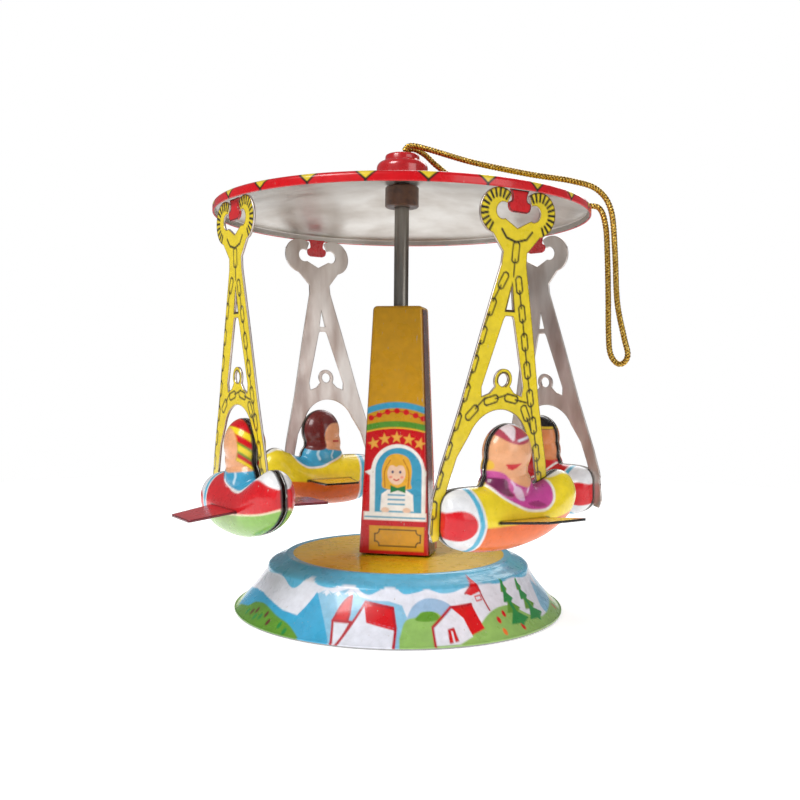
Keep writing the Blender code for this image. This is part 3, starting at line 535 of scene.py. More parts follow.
def base_profile():
    u = np.linspace(0, 1, SKIRT_ROWS)
    flare = FOOT_R - 0.3 - SHOULDER_R
    skirt = list(zip(SHOULDER_R + flare * u**SKIRT_FLARE, SHOULDER_Z - (SHOULDER_Z - SKIRT_FOOT_Z) * u))
    deck = [(0.01, DECK_Z - 0.12), (8, DECK_Z - 0.1), (DECK_PRINT_R - 0.1, DECK_Z - 0.05),
        (DECK_PRINT_R + 0.1, DECK_Z - 0.05), (DECK_R - 0.35, DECK_Z + 0.04), (DECK_R + 0.02, DECK_Z - 0.08),
        (DECK_R + 0.3, DECK_Z - 0.34)]
    shoulder = [(DECK_R + 0.75, DECK_Z - 0.62), (DECK_R + 1.6, DECK_Z - 1.0),
        (SHOULDER_R - 0.8, SHOULDER_Z + 0.62), (SHOULDER_R - 0.25, SHOULDER_Z + 0.3)]
    roll = arc(FOOT_R - 0.42, 0.42, 0.42, 20, -170, 10)
    outer = deck + shoulder + skirt + roll
    inner = inset(deck + shoulder + skirt[::8], TIN)[::-1]
    return outer, [tuple(p) for p in inner]


def paint_landscape(art):
    """A mountain village round the skirt, by azimuth in degrees and height in millimetres. Behind, where it
    runs on, the same hills come round again."""
    sky_line = [(-180, 8.2), (-160, 9.0), (-140, 7.8), (-120, 8.8), (-100, 7.9), (-80, 8.8), (-62, 8.0),
        (-46, 8.6), (-37, 7.3), (-33, 7.4), (-28.5, 9.2), (-26, 9.3), (-22, 8.5), (-16, 8.3), (-11, 8.9),
        (-6, 9.0), (-2, 8.0), (1, 7.8), (5, 8.7), (8, 9.1), (11, 8.8), (14, 8.0), (19, 8.3), (23, 8.7),
        (28, 8.0), (33, 8.0), (38, 8.5), (46, 8.9), (56, 8.4), (66, 8.7), (80, 7.9), (96, 8.9), (112, 7.9),
        (130, 9.0), (150, 8.0), (166, 8.8), (180, 8.2)]
    art.below(WHITE, smooth_line(sky_line))
    for centre in (-126, 96, 150):
        peaks = [(-20, 3.0), (-12, 7.0), (-8, 5.2), (-3, 7.7), (4, 5.6), (9, 7.2), (20, 3.4), (20, 0),
            (-20, 0)]
        art.area(PALE_BLUE, [(centre + x, z) for x, z in peaks])
    far = [(-22, 7.0), (-17, 8.0), (-14.5, 7.5), (-12, 7.9), (-7, 8.6), (-3, 7.4), (2, 6.9), (8, 6.9),
        (13, 6.3), (15, 4.2), (15, 0), (-22, 0)]
    art.area(PALE_BLUE, far)
    for x, z, width, drop in ((-17, 8.1, 2.2, 0.9), (-12, 8.0, 1.6, 0.7), (-7, 8.8, 2.6, 1.3)):
        snow = [(x - width, z - drop), (x, z), (x + width, z - drop), (x + 0.5 * width, z - 0.7 * drop),
            (x, z - 1.3 * drop), (x - 0.4 * width, z - 0.8 * drop)]
        art.area(WHITE, snow)
    haze = smooth_line([(14, 4.0), (17, 6.2), (22, 7.3), (28, 6.9), (32, 5.6), (33, 3.5)])
    art.below(srgb(150, 182, 212), haze)
    near = [(-75, 3.6), (-62, 4.7), (-53, 4.9), (-43, 4.4), (-34, 3.7), (-26, 3.5), (-24.2, 4.9),
        (-21.5, 7.4), (-18, 5.5), (-14, 3.2), (-10.5, 0.9), (-10, 0), (-75, 0)]
    art.area(DEEP_BLUE, near)
    art.area(DEEP_BLUE, [(110, 0), (112, 3.5), (121, 6.8), (128, 4.2), (137, 5.6), (146, 2.4), (150, 0)])
    art.area(DEEP_BLUE, [(-160, 0), (-150, 4.2), (-141, 6.9), (-134, 3.9), (-122, 2.6), (-116, 0)])
    paint_hills(art)
    for paint, shift in ((paint_houses, 0), (paint_houses, -150), (paint_church, 0), (paint_church, 110)):
        art.shift = shift
        paint(art)
    art.shift = 0
    for azimuth, height in ((58, 8.9), (68.5, 8.4), (-86, 8.0), (-94, 7.2), (163, 8.4), (-171, 7.8)):
        paint_fir(art, azimuth, height)


def paint_hills(art):
    hills = [(LEAF, [(-66, 1.4), (-57, 2.2), (-54, 3.1), (-48, 3.6), (-42, 3.4), (-35, 2.7), (-28, 2.1),
        (-23, 1.1), (-20, 0.2)]), (PALE_GREEN, [(12, 1.6), (14, 4.0), (18, 4.6), (20, 5.3), (25, 5.2),
        (28, 4.2), (36, 2.4), (42, 0.6)]), (PALE_GREEN, [(34, 0.8), (40, 2.8), (46, 4.3), (52, 4.9),
        (58, 4.6), (65, 2.6), (72, 1.8), (90, 2.6), (104, 3.3), (116, 1.4)]),
        (LEAF, [(128, 0.6), (142, 2.4), (158, 3.4), (174, 2.8), (190, 1.2)]),
        (LEAF, [(-176, 1.0), (-166, 2.6), (-150, 2.2), (-138, 0.6)]),
        (PALE_GREEN, [(-122, 0.8), (-108, 2.9), (-92, 3.6), (-78, 2.8), (-66, 0.9)])]
    for colour, crest in hills:
        art.below(colour, smooth_line(crest))
    art.blob(LEAF, [(17.5, 4.2), (20, 5.2), (24, 5.3), (26, 4.3), (22, 3.9)])
    bushes = [(-50, 1.9, BROWN), (-47.5, 2.4, BROWN), (-46, 1.5, FIR), (-43, 1.8, FIR), (-40.5, 2.4, BROWN),
        (-37, 1.5, BROWN), (-31, 1.6, FIR), (-27.5, 1.0, FIR), (-53.5, 1.6, FIR), (52, 3.8, RED),
        (48.5, 3.1, RED), (48.5, 1.4, ORANGE), (57.5, 1.5, RED), (88, 1.6, RED), (94, 2.3, ORANGE),
        (101, 1.7, RED), (148, 1.6, BROWN), (154, 2.4, FIR), (160, 1.5, BROWN), (-158, 1.3, FIR),
        (-164, 1.6, BROWN), (-104, 1.9, RED), (-98, 2.7, ORANGE), (-88, 1.8, RED)]
    for azimuth, z, colour in bushes:
        art.oval(colour, (azimuth, z), (0.8, 0.5))


def paint_houses(art):
    """A small house with a curved roof and a large gabled one in front of it."""
    art.outlined(WHITE, OUTLINE_RED, [(-11.2, 3.6), (-10.2, 2.2), (-8.9, 0.2), (-7.0, 0.2), (-4.6, 3.6)],
        0.42)
    roof = smooth_line([(-11.2, 3.6), (-9.8, 5.7), (-8.0, 6.9), (-6.2, 7.4)])
    art.outlined(RED, OUTLINE_RED, [*roof, (-5.7, 4.6), (-5.9, 3.6)], 0.42)
    art.area(WHITE, [(-7.6, 0.2), (-0.6, 6.6), (1.0, 3.8), (10.4, 2.8), (10.0, 0.2)])
    art.area(RED, [(-0.4, 6.5), (9.6, 5.8), (10.7, 3.0), (1.0, 3.9)])
    art.line(RED, [(-0.7, 6.4), (1.0, 3.8), (10.6, 2.85)], 0.3)
    art.line(OUTLINE_RED, [(-7.6, 0.1), (-0.6, 6.65), (9.7, 5.9), (10.8, 3.0), (10.2, 0.1)], 0.46)


def paint_church(art):
    art.area(WHITE, [(23, 0.6), (23.2, 3.0), (31, 5.4), (34.5, 4.0), (35.6, 1.4), (31, 0.6)])
    art.area(RED, [(31, 5.8), (39.8, 5.9), (41.3, 2.3), (35.6, 1.6), (34.6, 4.0)])
    art.line(OUTLINE_RED, [(23, 0.6), (23.1, 3.1), (30.8, 5.75), (39.8, 5.95)], 0.42)
    art.line(WHITE, [(31.2, 5.4), (34.5, 4.0), (35.6, 1.5)], 0.28)
    art.area(WHITE, [(39.4, 7.5), (45.2, 7.7), (46.4, 4.6), (41.6, 3.6), (40.4, 5.0)])
    art.line(OUTLINE_RED, [(45.2, 7.7), (46.5, 4.7)], 0.34)
    spire = [(38.2, 7.6), (41.0, 8.7), (43.6, 9.9), (45.4, 7.7)]
    art.area(RED, [*spire, (40.6, 7.2)])
    art.line(OUTLINE_RED, spire, 0.3)
    art.outlined(WHITE, RED, [(42.2, 7.0), (44.8, 7.1), (44.8, 6.4), (42.4, 6.3)], 0.22)
    art.outlined(RED, OUTLINE_RED, [(27.8, 0.9), (28.2, 2.6), (30.2, 2.8), (30.6, 1.1)], 0.22)
    art.line(WHITE, [(29.2, 1.0), (29.3, 2.3)], 0.3)


def paint_fir(art, azimuth, height):
    """A dark fir with four tiers of branches, drawn in loose brush strokes."""
    low = height * 0.28
    tiers = 4
    for k in range(tiers):
        top = height - (height - low) * k / tiers
        foot = height - (height - low) * (k + 1.35) / tiers
        half = 2.1 + 1.0 * k
        art.area(FIR if k % 2 else LEAF, [(azimuth - 0.4, top), (azimuth + half, foot + 0.5),
            (azimuth + 0.3 * half, foot), (azimuth - half, foot + 0.2)])
    art.line(FIR, [(azimuth, height - 0.3), (azimuth + 0.3, low - 0.5)], 0.8)


def turned_tin(name, profile, steps, colours, bare_from, body, node):
    """A turned pressing, printed outside and bare from one row of its profile on."""
    mesh = turned_mesh(name, profile, steps)
    write_print(mesh, colours)
    obj = link(name, mesh, [PRINTED, BARE_TIN], body, [node], smooth=50)
    bare = np.repeat((np.arange(len(profile)) >= bare_from).astype(np.int32), steps)
    obj.data.polygons.foreach_set("material_index", bare[:len(obj.data.polygons)])


def make_base():
    outer, inner = base_profile()
    profile = outer + inner
    points = turned_points(profile, BASE_STEPS)
    azimuth, radius = polar(points)
    rows = np.repeat(np.arange(len(profile)), BASE_STEPS)
    colours = np.tile(np.array(SKY), (len(points), 1))
    skirt = (rows >= 7) & (rows < len(outer))
    drawn = Canvas(np.stack([azimuth[skirt], points[skirt, 2]], axis=1), SKY, 0.16, (SKIRT_DEGREE, 1))
    paint_landscape(drawn)
    colours[skirt] = drawn.rgb
    colours[(rows < 6) & (radius < DECK_PRINT_R)] = GOLD
    colours[rows >= len(outer) - 8] = srgb(150, 150, 150)
    turned_tin("base", profile, BASE_STEPS, colours, len(outer) - 4, "stand", "base_shell")


make_base()


def within(points, loops):
    """Which points lie inside the first loop and in none of the others."""
    test = Canvas(points, (0, 0, 0), soft=1e-6)
    for k, loop in enumerate(loops):
        test.area((0 if k else 1,) * 3, loop)
    return test.rgb[:, 0] > 0.5


def plate_of(name, loops, spacing, height=0.0):
    """A flat sheet in X and Y: the first loop is its outline and the rest are holes, with a dense inside."""
    points, edges = [], []
    for loop in loops:
        first = len(points)
        closed = np.vstack([loop, loop[:1]])
        along = run_along(closed)
        count = max(len(loop), int(along[-1] / spacing))
        at = np.unique(np.concatenate([np.linspace(0, along[-1], count, endpoint=False), along[:-1]]))
        at = at[np.concatenate([[True], np.diff(at) > 0.3 * spacing])]
        points += list(np.stack([np.interp(at, along, closed[:, k]) for k in (0, 1)], axis=1))
        edges += [(first + i, first + (i + 1) % len(at)) for i in range(len(at))]
    rim = np.array(points)
    low, high = rim.min(0), rim.max(0)
    xs, ys = (np.arange(low[k] + spacing / 2, high[k], spacing) for k in (0, 1))
    grid = np.stack(np.meshgrid(xs, ys), axis=2).reshape(-1, 2)
    grid = grid[within(grid, loops)]
    away = np.array([np.min(np.sum((rim - p) ** 2, axis=1)) for p in grid]) > (0.45 * spacing) ** 2
    every = np.concatenate([rim, grid[away]])
    flat, _, faces, *_ = delaunay_2d_cdt([Vector(p) for p in every], edges, [], 0, 1e-6)
    flat = np.array([tuple(p) for p in flat])
    kept = within(np.array([flat[list(face)].mean(axis=0) for face in faces]), loops)
    faces = [tuple(face) for face, keep in zip(faces, kept) if keep]
    return mesh_of(name, np.column_stack([flat, np.full(len(flat), height)]), faces)


def thicken(obj, thickness):
    """Gives a sheet its thickness inwards; its edges and far side take its last material."""
    solid = obj.modifiers.new("sheet", "SOLIDIFY")
    solid.thickness = thickness * MM
    solid.offset = -1
    solid.material_offset = solid.material_offset_rim = len(obj.data.materials) - 1


# ---- tower
TOWER_FOOT_Z = 10.9
TOWER_TOP_Z = 59.6
TOWER_FOOT = (14.2, 10.0)
TOWER_HEAD = (10.0, 7.0)
TOWER_EDGE_R = 0.9
TOWER_CROWN_R = 0.8
TOWER_SEAM_Y = 2.2
SHAFT_HOLE_R = 1.8
TOWER_STEP = 0.17
KEY_Z = 21.0
KEY_HOLE_R = 1.3
# Painted shade: the dark brown given to the tower's side faces for the shadow they stand in.
SIDE_SHADE_BROWN = srgb(88, 34, 24)


def tower_halves(z):
    """Half the tower's width and depth at a height."""
    f = (z - TOWER_FOOT_Z) / (TOWER_TOP_Z - TOWER_FOOT_Z)
    return [(foot + (head - foot) * f) / 2 for foot, head in zip(TOWER_FOOT, TOWER_HEAD)]


def tower_path(z, inset_by, side):
    """From one end of the seam round the front (side -1) or the back (side 1) to the other end."""
    half_x, half_y = [half - inset_by for half in tower_halves(z)]
    r = max(TOWER_EDGE_R - inset_by, 0.2)
    seam = TOWER_SEAM_Y + (0.2 if side > 0 else 0)
    walls = 30 if side < 0 else 6
    across = int(TOWER_FOOT[0] / TOWER_STEP) if side < 0 else 40
    ys = np.linspace(seam, side * (half_y - r), walls)
    path = [(half_x, y) for y in ys]
    path += arc(half_x - r, side * (half_y - r), r, 0, side * 90, 7)[1:]
    path += [(x, side * half_y) for x in np.linspace(half_x - r, r - half_x, across)[1:]]
    path += arc(r - half_x, side * (half_y - r), r, side * 90, side * 180, 7)[1:]
    return path + [(-half_x, y) for y in ys[::-1][1:]]


def tower_wall(side, step):
    """Points and faces of one shell's walls, and the path of their upper edge."""
    rows = [(z, 0.0) for z in np.arange(TOWER_FOOT_Z, TOWER_TOP_Z - TOWER_CROWN_R, step)]
    rows += [(TOWER_TOP_Z - TOWER_CROWN_R * (1 - math.sin(a)),
        TOWER_CROWN_R * (1 - math.cos(a))) for a in np.radians([0, 15, 30, 45, 60, 75, 90])]
    paths = [tower_path(z, depth, side) for z, depth in rows]
    points = np.array([(x, y, z) for path, (z, _) in zip(paths, rows) for x, y in path])
    columns = len(paths[0])
    faces = grid_faces(len(rows), columns)
    if side < 0:
        faces = [face[::-1] for face in faces]
    return points, faces, paths[-1]


def paint_tower(art):
    """The printed front, by x and z."""
    wide = 9.0
    red_top = 34.8
    art.area(RED, [(-wide, 0), (wide, 0), (wide, red_top), (-wide, red_top)])
    centre = 0.3
    art.area(RED, [(centre - wide, 0)] + arc(centre, 13.55, 22, 155, 25, 30) + [(centre + wide, 0)])
    art.line(srgb(84, 150, 48), arc(centre, 14.4, 22, 115, 65, 30), 1.15)
    art.line(srgb(240, 200, 60), arc(centre, 13.6, 22, 115, 65, 30), 0.18)
    art.line(CYAN, arc(centre, 25.1, 15, 120, 60, 30), 1.2)
    beads = [(-4.9, 37.5), (-3.3, 38.1), (-1.6, 38.7), (0.27, 38.95), (2.1, 38.7), (4.0, 38.1), (5.5, 37.5)]
    art.line(RED, beads, 0.25)
    for bead in beads:
        art.oval(RED, bead, (0.57, 0.55))
    for x, z, tilt in ((-4.3, 32.5, 14), (-2.1, 33.4, 7), (0.3, 33.75, 0), (2.7, 33.4, -7), (4.9, 32.6, -14)):
        art.area(srgb(238, 176, 70), star((x, z), 1.25, tilt))
    window = [(-3.9, 18.6), (-3.9, 27.5), *arc(0.75, 27.1, 4.65, 175, 5, 16), (5.4, 27.5), (5.4, 18.6)]
    frame_line = [(-4.95, 18.0), (-4.95, 26.2), (-6.0, 26.9), (-4.8, 27.4),
        *arc(0.63, 27.1, 5.35, 172, 8, 18), (6.1, 27.4), (6.45, 26.9), (6.2, 26.2), (6.2, 18.0)]
    art.area(srgb(248, 246, 240), frame_line)
    art.area(CYAN, window)
    art.blob(HAIR, [(0.4, 30.6), (2.6, 29.8), (3.4, 27.6), (3.2, 25.0), (3.0, 23.7), (-2.0, 23.7),
        (-2.5, 25.6), (-2.5, 27.8), (-1.5, 29.9)])
    art.stroke(srgb(190, 120, 24), [(-1.9, 24.0), (-2.0, 27.0), (-0.9, 29.3)], 0.22)
    art.stroke(srgb(190, 120, 24), [(2.7, 24.0), (2.8, 27.0), (1.7, 29.4)], 0.22)
    art.area(srgb(250, 246, 240), [(-2.8, 19.4), (-2.6, 22.6), (-1.4, 23.5), (2.4, 23.5), (3.7, 22.6),
        (3.9, 19.4)])
    art.oval(PALE_SKIN, (0.35, 26.7), (1.8, 2.2))
    art.blob(HAIR, [(-1.6, 28.2), (0.4, 29.2), (2.3, 28.2), (0.9, 28.3), (0.3, 28.0), (-0.4, 28.3)])
    for x in (-0.4, 1.1):
        art.oval(srgb(40, 60, 110), (x, 27.0), (0.24, 0.26))
        art.oval(srgb(240, 150, 130), (x + (x - 0.35) * 0.5, 26.0), (0.34, 0.24))
    art.stroke(srgb(200, 40, 40), [(-0.15, 25.55), (0.35, 25.35), (0.85, 25.55)], 0.24)
    for z in (22.5, 21.6, 20.7):
        art.line(CYAN, [(-1.2, z), (2.0, z)], 0.3)
    art.area(srgb(30, 130, 70), [(-0.8, 24.4), (0.6, 23.9), (2.2, 24.4), (2.2, 22.9), (0.7, 23.4),
        (-0.8, 22.9)])
    for x in (-1.8, 2.5):
        art.oval(PALE_SKIN, (x, 19.5), (0.8, 0.55))
    art.area(srgb(250, 248, 242), [(-6.1, 17.5), (-6.1, 19.1), (6.4, 19.1), (6.4, 17.5)])
    art.line(CYAN, [(-5.8, 18.1), (6.1, 18.1)], 0.28)
    plate = [(-4.9, 11.6), (-4.9, 16.4), (6.0, 16.4), (6.0, 11.6)]
    art.area(srgb(226, 166, 30), plate)
    corner = 0.9
    low, high, left, right = 12.5, 15.7, -3.8, 5.3
    for sx, sz, x, z in ((1, 1, left, low), (-1, 1, right, low), (-1, -1, right, high), (1, -1, left, high)):
        curl = [(x + sx * corner, z), (x + sx * corner * 0.9, z + sz * 0.5),
            (x + sx * 0.5, z + sz * corner * 0.9), (x, z + sz * corner)]
        art.line(BLACK, curl, 0.22)
    for start, end in (((left + corner, low), (right - corner, low)),
            ((left + corner, high), (right - corner, high)), ((left, low + corner), (left, high - corner)),
            ((right, low + corner), (right, high - corner))):
        art.line(BLACK, [start, end], 0.22)


def tower_mesh(name, points, faces, top_loops):
    """The walls, closed by the tower's flat top."""
    top = plate_of("top", top_loops, 0.4, TOWER_TOP_Z)
    faces = faces + [tuple(len(points) + k for k in polygon.vertices) for polygon in top.polygons]
    return mesh_of(name, np.concatenate([points, points_of(top)]), faces, welded=0.02)


def link_tower(name, mesh, colours, node):
    write_print(mesh, colours)
    thicken(link(name, mesh, [PRINTED, BARE_TIN], "stand", [node]), TIN)


def make_tower_front():
    points, faces, top_path = tower_wall(-1, TOWER_STEP)
    mesh = tower_mesh("tower_front", points, faces, [top_path, arc(0, 0, SHAFT_HOLE_R, 0, 348, 31)])
    points = points_of(mesh)
    yellow = srgb(206, 152, 18)
    drawn = Canvas(points[:, [0, 2]], yellow, soft=0.2)
    paint_tower(drawn)
    across = np.abs(points[:, 0])
    half_x = tower_halves(points[:, 2])[0]
    # The side faces get the dark brown of painted shade, all but along the top edge.
    side_shade = np.clip((across - half_x + 0.30) / 0.22, 0, 1)
    side_shade = np.where(points[:, 2] > TOWER_TOP_Z - 0.6, 0, side_shade)[:, None]
    colours = drawn.rgb * (1 - side_shade) + np.array(SIDE_SHADE_BROWN) * side_shade
    colours[(across > half_x - 0.2) & (points[:, 1] > TOWER_SEAM_Y - 0.5)] = yellow
    link_tower("tower_front", mesh, colours, "tower_front_shell")


def make_tower_back():
    points, faces, top_path = tower_wall(1, 0.35)
    wall = TOWER_SEAM_Y + 0.7
    hole = points[:, [0, 2]] - np.array((0, KEY_Z))
    off = np.hypot(hole[:, 0], hole[:, 1])
    snap = (points[:, 1] > wall) & (np.abs(off - KEY_HOLE_R) < 0.2)
    points[snap, 0] *= KEY_HOLE_R / off[snap]
    points[snap, 2] = KEY_Z + hole[snap, 1] * KEY_HOLE_R / off[snap]
    middles = np.array([points[list(face)].mean(axis=0) for face in faces])
    opened = (np.hypot(middles[:, 0], middles[:, 2] - KEY_Z) < KEY_HOLE_R - 0.05) & (middles[:, 1] > wall)
    faces = [face for face, skip in zip(faces, opened) if not skip]
    mesh = tower_mesh("tower_back", points, faces, [top_path])
    drawn = Canvas(points_of(mesh)[:, [0, 2]], RED, soft=0.3)
    drawn.line(AMBER, [(-5.6, 12.6), (5.6, 12.6), (3.9, 57.0), (-3.9, 57.0)], 0.5, closed=True)
    drawn.line(AMBER, arc(0, KEY_Z, 2.3, 0, 360, 30), 0.4)
    for z in (30, 36, 42, 48):
        drawn.area(AMBER, star((0, z), 1.6))
    link_tower("tower_back", mesh, drawn.rgb, "tower_back_cover")


make_tower_front()
make_tower_back()


# ---- shaft, collar, cap
def turned_piece(name, profile, steps, material, node):
    mesh = turned_mesh(name, profile, steps)
    bm = bmesh.new()
    bm.from_mesh(mesh)
    bmesh.ops.recalc_face_normals(bm, faces=bm.faces)
    bm.to_mesh(mesh)
    bm.free()
    link(name, mesh, [material], "carousel", [node])


def make_spindle():
    shaft = [(0.01, 29.4), (0.7, 29.4), (0.7, 32.4), (1.45, 32.4), (1.45, 86.7), (1.15, 87.0), (0.01, 87.0)]
    turned_piece("shaft", shaft, 64, STEEL, "carousel_shaft")
    collar = [(1.6, 79.3), (3.15, 79.3), (3.35, 79.5), (3.35, 83.1), (3.1, 83.4), (1.6, 83.4)]
    # The collar wears the dark brown of painted shade.
    turned_piece("collar", collar, 72, COLLAR_SHADE_BROWN, "shaft_collar")
    outer = [(1.7, 89.7), (2.6, 89.7), *arc(2.9, 89.2, 0.5, 90, 0, 6), (3.45, 88.6), (3.7, 88.3),
        *arc(3.7, 86.9, 1.4, 85, 0, 12), (5.1, 86.0), (5.1, 84.75)]
    inner = [(4.7, 84.75), (4.7, 86.9), (4.3, 87.6), (3.6, 87.9), (3.1, 88.2), (3.0, 89.2), (1.7, 89.3)]
    turned_piece("cap", outer + inner, 96, RED_LACQUER, "top_cap")


make_spindle()


# ---- canopy
CANOPY_R = 37.0
CANOPY_EDGE_Z = 76.9
CANOPY_RIM_Z = 78.6
CANOPY_RISE = 5.8
CANOPY_POWER = 1.35
CANOPY_STEPS = 1200
SCALLOPS = 23
SCALLOP_AZIMUTH = 10.2
SWING_R = 35.6
SWING_Z = 75.2


def canopy_top(r):
    return CANOPY_RIM_Z + CANOPY_RISE * (1 - (r / (CANOPY_R - 0.6)) ** CANOPY_POWER)


def paint_rim(azimuth, run):
    """Red scallops with black outlines on yellow, by azimuth and distance along the sheet from the lip."""
    art = Canvas(np.stack([azimuth * CANOPY_R * math.pi / 180, run], axis=1), srgb(226, 196, 44), soft=0.2)
    pitch = 360 / SCALLOPS
    for k in range(-SCALLOPS // 2 - 1, SCALLOPS // 2 + 2):
        x = math.radians(SCALLOP_AZIMUTH + k * pitch) * CANOPY_R
        half = 0.5 * math.radians(pitch) * CANOPY_R
        side = [(1.0, -2), (0.98, 0.15), (0.72, 1.3), (0.64, 2.0), (0.6, 2.7), (0.44, 4.2)]
        bell = [(x - half * share, z) for share, z in side] + [(x, 5.2)]
        bell += [(x + half * share, z) for share, z in reversed(side)]
        art.area(RED, bell)
        art.line(BLACK, bell, 0.34)
    return art.rgb


def make_canopy():
    radii = [1.8, 3, 6, 9, 12, 14, 15, 16, 17, 20, 23, 26, 28, 30, 31, 32, 33, 33.5, 34, 34.4]
    radii += list(np.linspace(34.6, CANOPY_R - 0.6, 12))
    radii = sorted(radii + list(np.linspace(31.1, 34.3, 9)))
    outer = [(r, canopy_top(r)) for r in radii]
    outer += arc(CANOPY_R - 0.75, CANOPY_RIM_Z - 0.72, 0.75, 72, 0, 9)
    outer += [(CANOPY_R, z) for z in np.linspace(CANOPY_RIM_Z - 0.85, CANOPY_EDGE_Z + 0.15, 10)]
    inner = inset(outer, TIN)[::-1][1::2]
    lip = arc(CANOPY_R - 0.2, CANOPY_EDGE_Z + 0.15, 0.2, -20, -160, 4)
    profile = outer + lip + [tuple(p) for p in inner]
    azimuth, radius = polar(turned_points(profile, CANOPY_STEPS))
    run = run_along(outer)
    run = np.concatenate([run[-1] - run, np.full(len(lip), -0.1)])
    rows = np.repeat(np.arange(len(profile)), CANOPY_STEPS)
    on_top = rows < len(run)
    colours = np.tile(np.array(srgb(236, 190, 34)), (len(rows), 1))
    colours[on_top] = paint_rim(azimuth[on_top], run[rows[on_top]])
    colours[on_top & (radius < 13.5)] = MARK_RED
    colours[on_top & (radius > 14.5) & (radius < 15.6)] = srgb(40, 110, 180)
    turned_tin("canopy", profile, CANOPY_STEPS, colours, len(run) - 1, "carousel", "canopy")


make_canopy()


# ---- swings
SWINGS = {  # azimuth, lean inwards and turn in degrees, drop
    "front_right": (45, 3, 0, 0.0),
    "back_right": (135, -3, 12, 0.45),
    "back_left": (225, 3, 0, 0.0),
    "front_left": (315, 3, 0, 0.0),
}


def swing_frame(azimuth, inwards=0.0, turn=0.0, drop=0.0):
    """Local X sideways (anticlockwise from above), local Y up and local Z outwards, on the swing's hinge."""
    a = math.radians(azimuth)
    out = Vector((math.sin(a), -math.cos(a), 0))
    side = Vector((math.cos(a), math.sin(a), 0))
    axes = Matrix((side, Vector((0, 0, 1)), out)).transposed().to_4x4()
    rest = Matrix.Rotation(math.radians(turn), 4, "Z") @ axes @ Matrix.Rotation(math.radians(inwards), 4, "X")
    return Matrix.Translation((out * SWING_R + Vector((0, 0, SWING_Z - drop))) * MM) @ rest


def hang(name, mesh, colours, rest, materials, body, nodes=(), thickness=TIN, smooth=35):
    """Prints a sheet that is given in a swing's frame, hangs it there and gives it its thickness."""
    write_print(mesh, colours)
    mesh.transform(swing_frame(*rest))
    thicken(link(name, mesh, materials, body, nodes, smooth), thickness)


def make_lugs():
    """Each lug is a flat strip that hangs down by the rim and ends in a head between the claws."""
    half = [(2.0, 77.0), (1.6, 76.2), (1.5, 75.4), (1.7, 75.05), (2.25, 74.85), (2.4, 74.5), (2.35, 74.0),
        (2.1, 73.5), (1.5, 73.2)]
    outline = [(x, z - SWING_Z) for x, z in half + [(-x, z) for x, z in reversed(half)]]
    for place, (azimuth, _, turn, _) in SWINGS.items():
        name = "lug_" + place
        mesh = plate_of(name, [outline], 0.2, TIN / 2)
        drawn = Canvas(points_of(mesh)[:, :2], MARK_RED, soft=0.12)
        drawn.line(BLACK, outline, 0.3, closed=True)
        hang(name, mesh, drawn.rgb, (azimuth, 0, turn), [PRINTED, RED_LACQUER], "carousel")


make_lugs()


LEAN = 0.062
NOSE_LEG_Z = 18.6
TAIL_LEG_Z = 23.6
SEAM = 0.3
HANGER_STEP = 0.2
LINK_CUT = 0.35
CLAW = (4.3, 73.2)  # the claws' printed rings turn about this point
BODY = (  # (place along the rocket, underside, top, half width)
    (-15.6, 20.4, 25.0, 2.2),
    (-14.6, 18.9, 26.4, 3.5),
    (-12.0, 17.4, 27.2, 4.5),
    (-6.5, 16.3, 27.4, 4.9),
    (0.0, 16.3, 27.0, 5.0),
    (5.5, 17.3, 27.3, 4.8),
    (8.8, 18.4, 28.5, 4.4),
    (11.2, 19.5, 29.5, 3.8),
    (13.2, 20.8, 29.0, 3.0),
    (15.0, 22.6, 27.2, 1.6),
)
SKIN_STEP = 0.24
NOSE_START = -9.0
TAIL_START = 8.5
BRAID_START = -2.2
BRAID_END = 6.0
BRAID_HALF = 2.7
SHELL_TIN = 0.24
WING_REACH = 13.5
WING_ROOT = 5.2
WING_Z = 22.0
WING_DROOP = {"front_right": -9.5}  # degrees; the others droop by 3
NOSE_SQUEEZE = 0.76  # the nose is this much blunter than the stations say


def leaned(points):
    """Points of the hanger given about its own centre line, as it hangs, from its hinge."""
    return [(x - LEAN * (SWING_Z - z), z - SWING_Z) for x, z in points]


def leg(end_z):
    return [(2.6, 66.6), (2.7, 64.6), (5.4, 54), (8.5, 41.0), (11.3, 31.0), (12.4, 26.0), (12.4, end_z + 1.6),
        (11.6, end_z), (10.4, end_z + 0.3), (10.1, 25.6), (9.4, 28.5), (8.3, 32.4)]


def hanger_loops():
    claw = [(0.0, 70.6)] + arc(3.4, 73.3, 1.4, 245, 480, 24) + arc(4.3, 73.2, 3.85, 488, 282, 36)
    arch = arc(0, 33.6, 6.6, 22, 90, 16)
    right = claw + leg(TAIL_LEG_Z) + arch
    left = claw[1:] + leg(NOSE_LEG_Z) + arch[:-1]
    outline = right + [(-x, z) for x, z in reversed(left)]
    slit = [(0, 61.0), (0.75, 57.0), (-0.75, 57.0)]
    lobe = arc(0, 45.2, 1.9, -35, 215, 20)
    window = [(0.8, 55.9), (-0.8, 55.9), (-1.15, 55.3), (-4.5, 44.0), (-4.3, 42.4), (-2.6, 43.0),
        *reversed(lobe), (2.6, 43.0), (4.3, 42.4), (4.5, 44.0), (1.15, 55.3)]
    eye = arc(0, 45.2, 1.1, 0, 345, 24)
    return outline, slit, window, eye


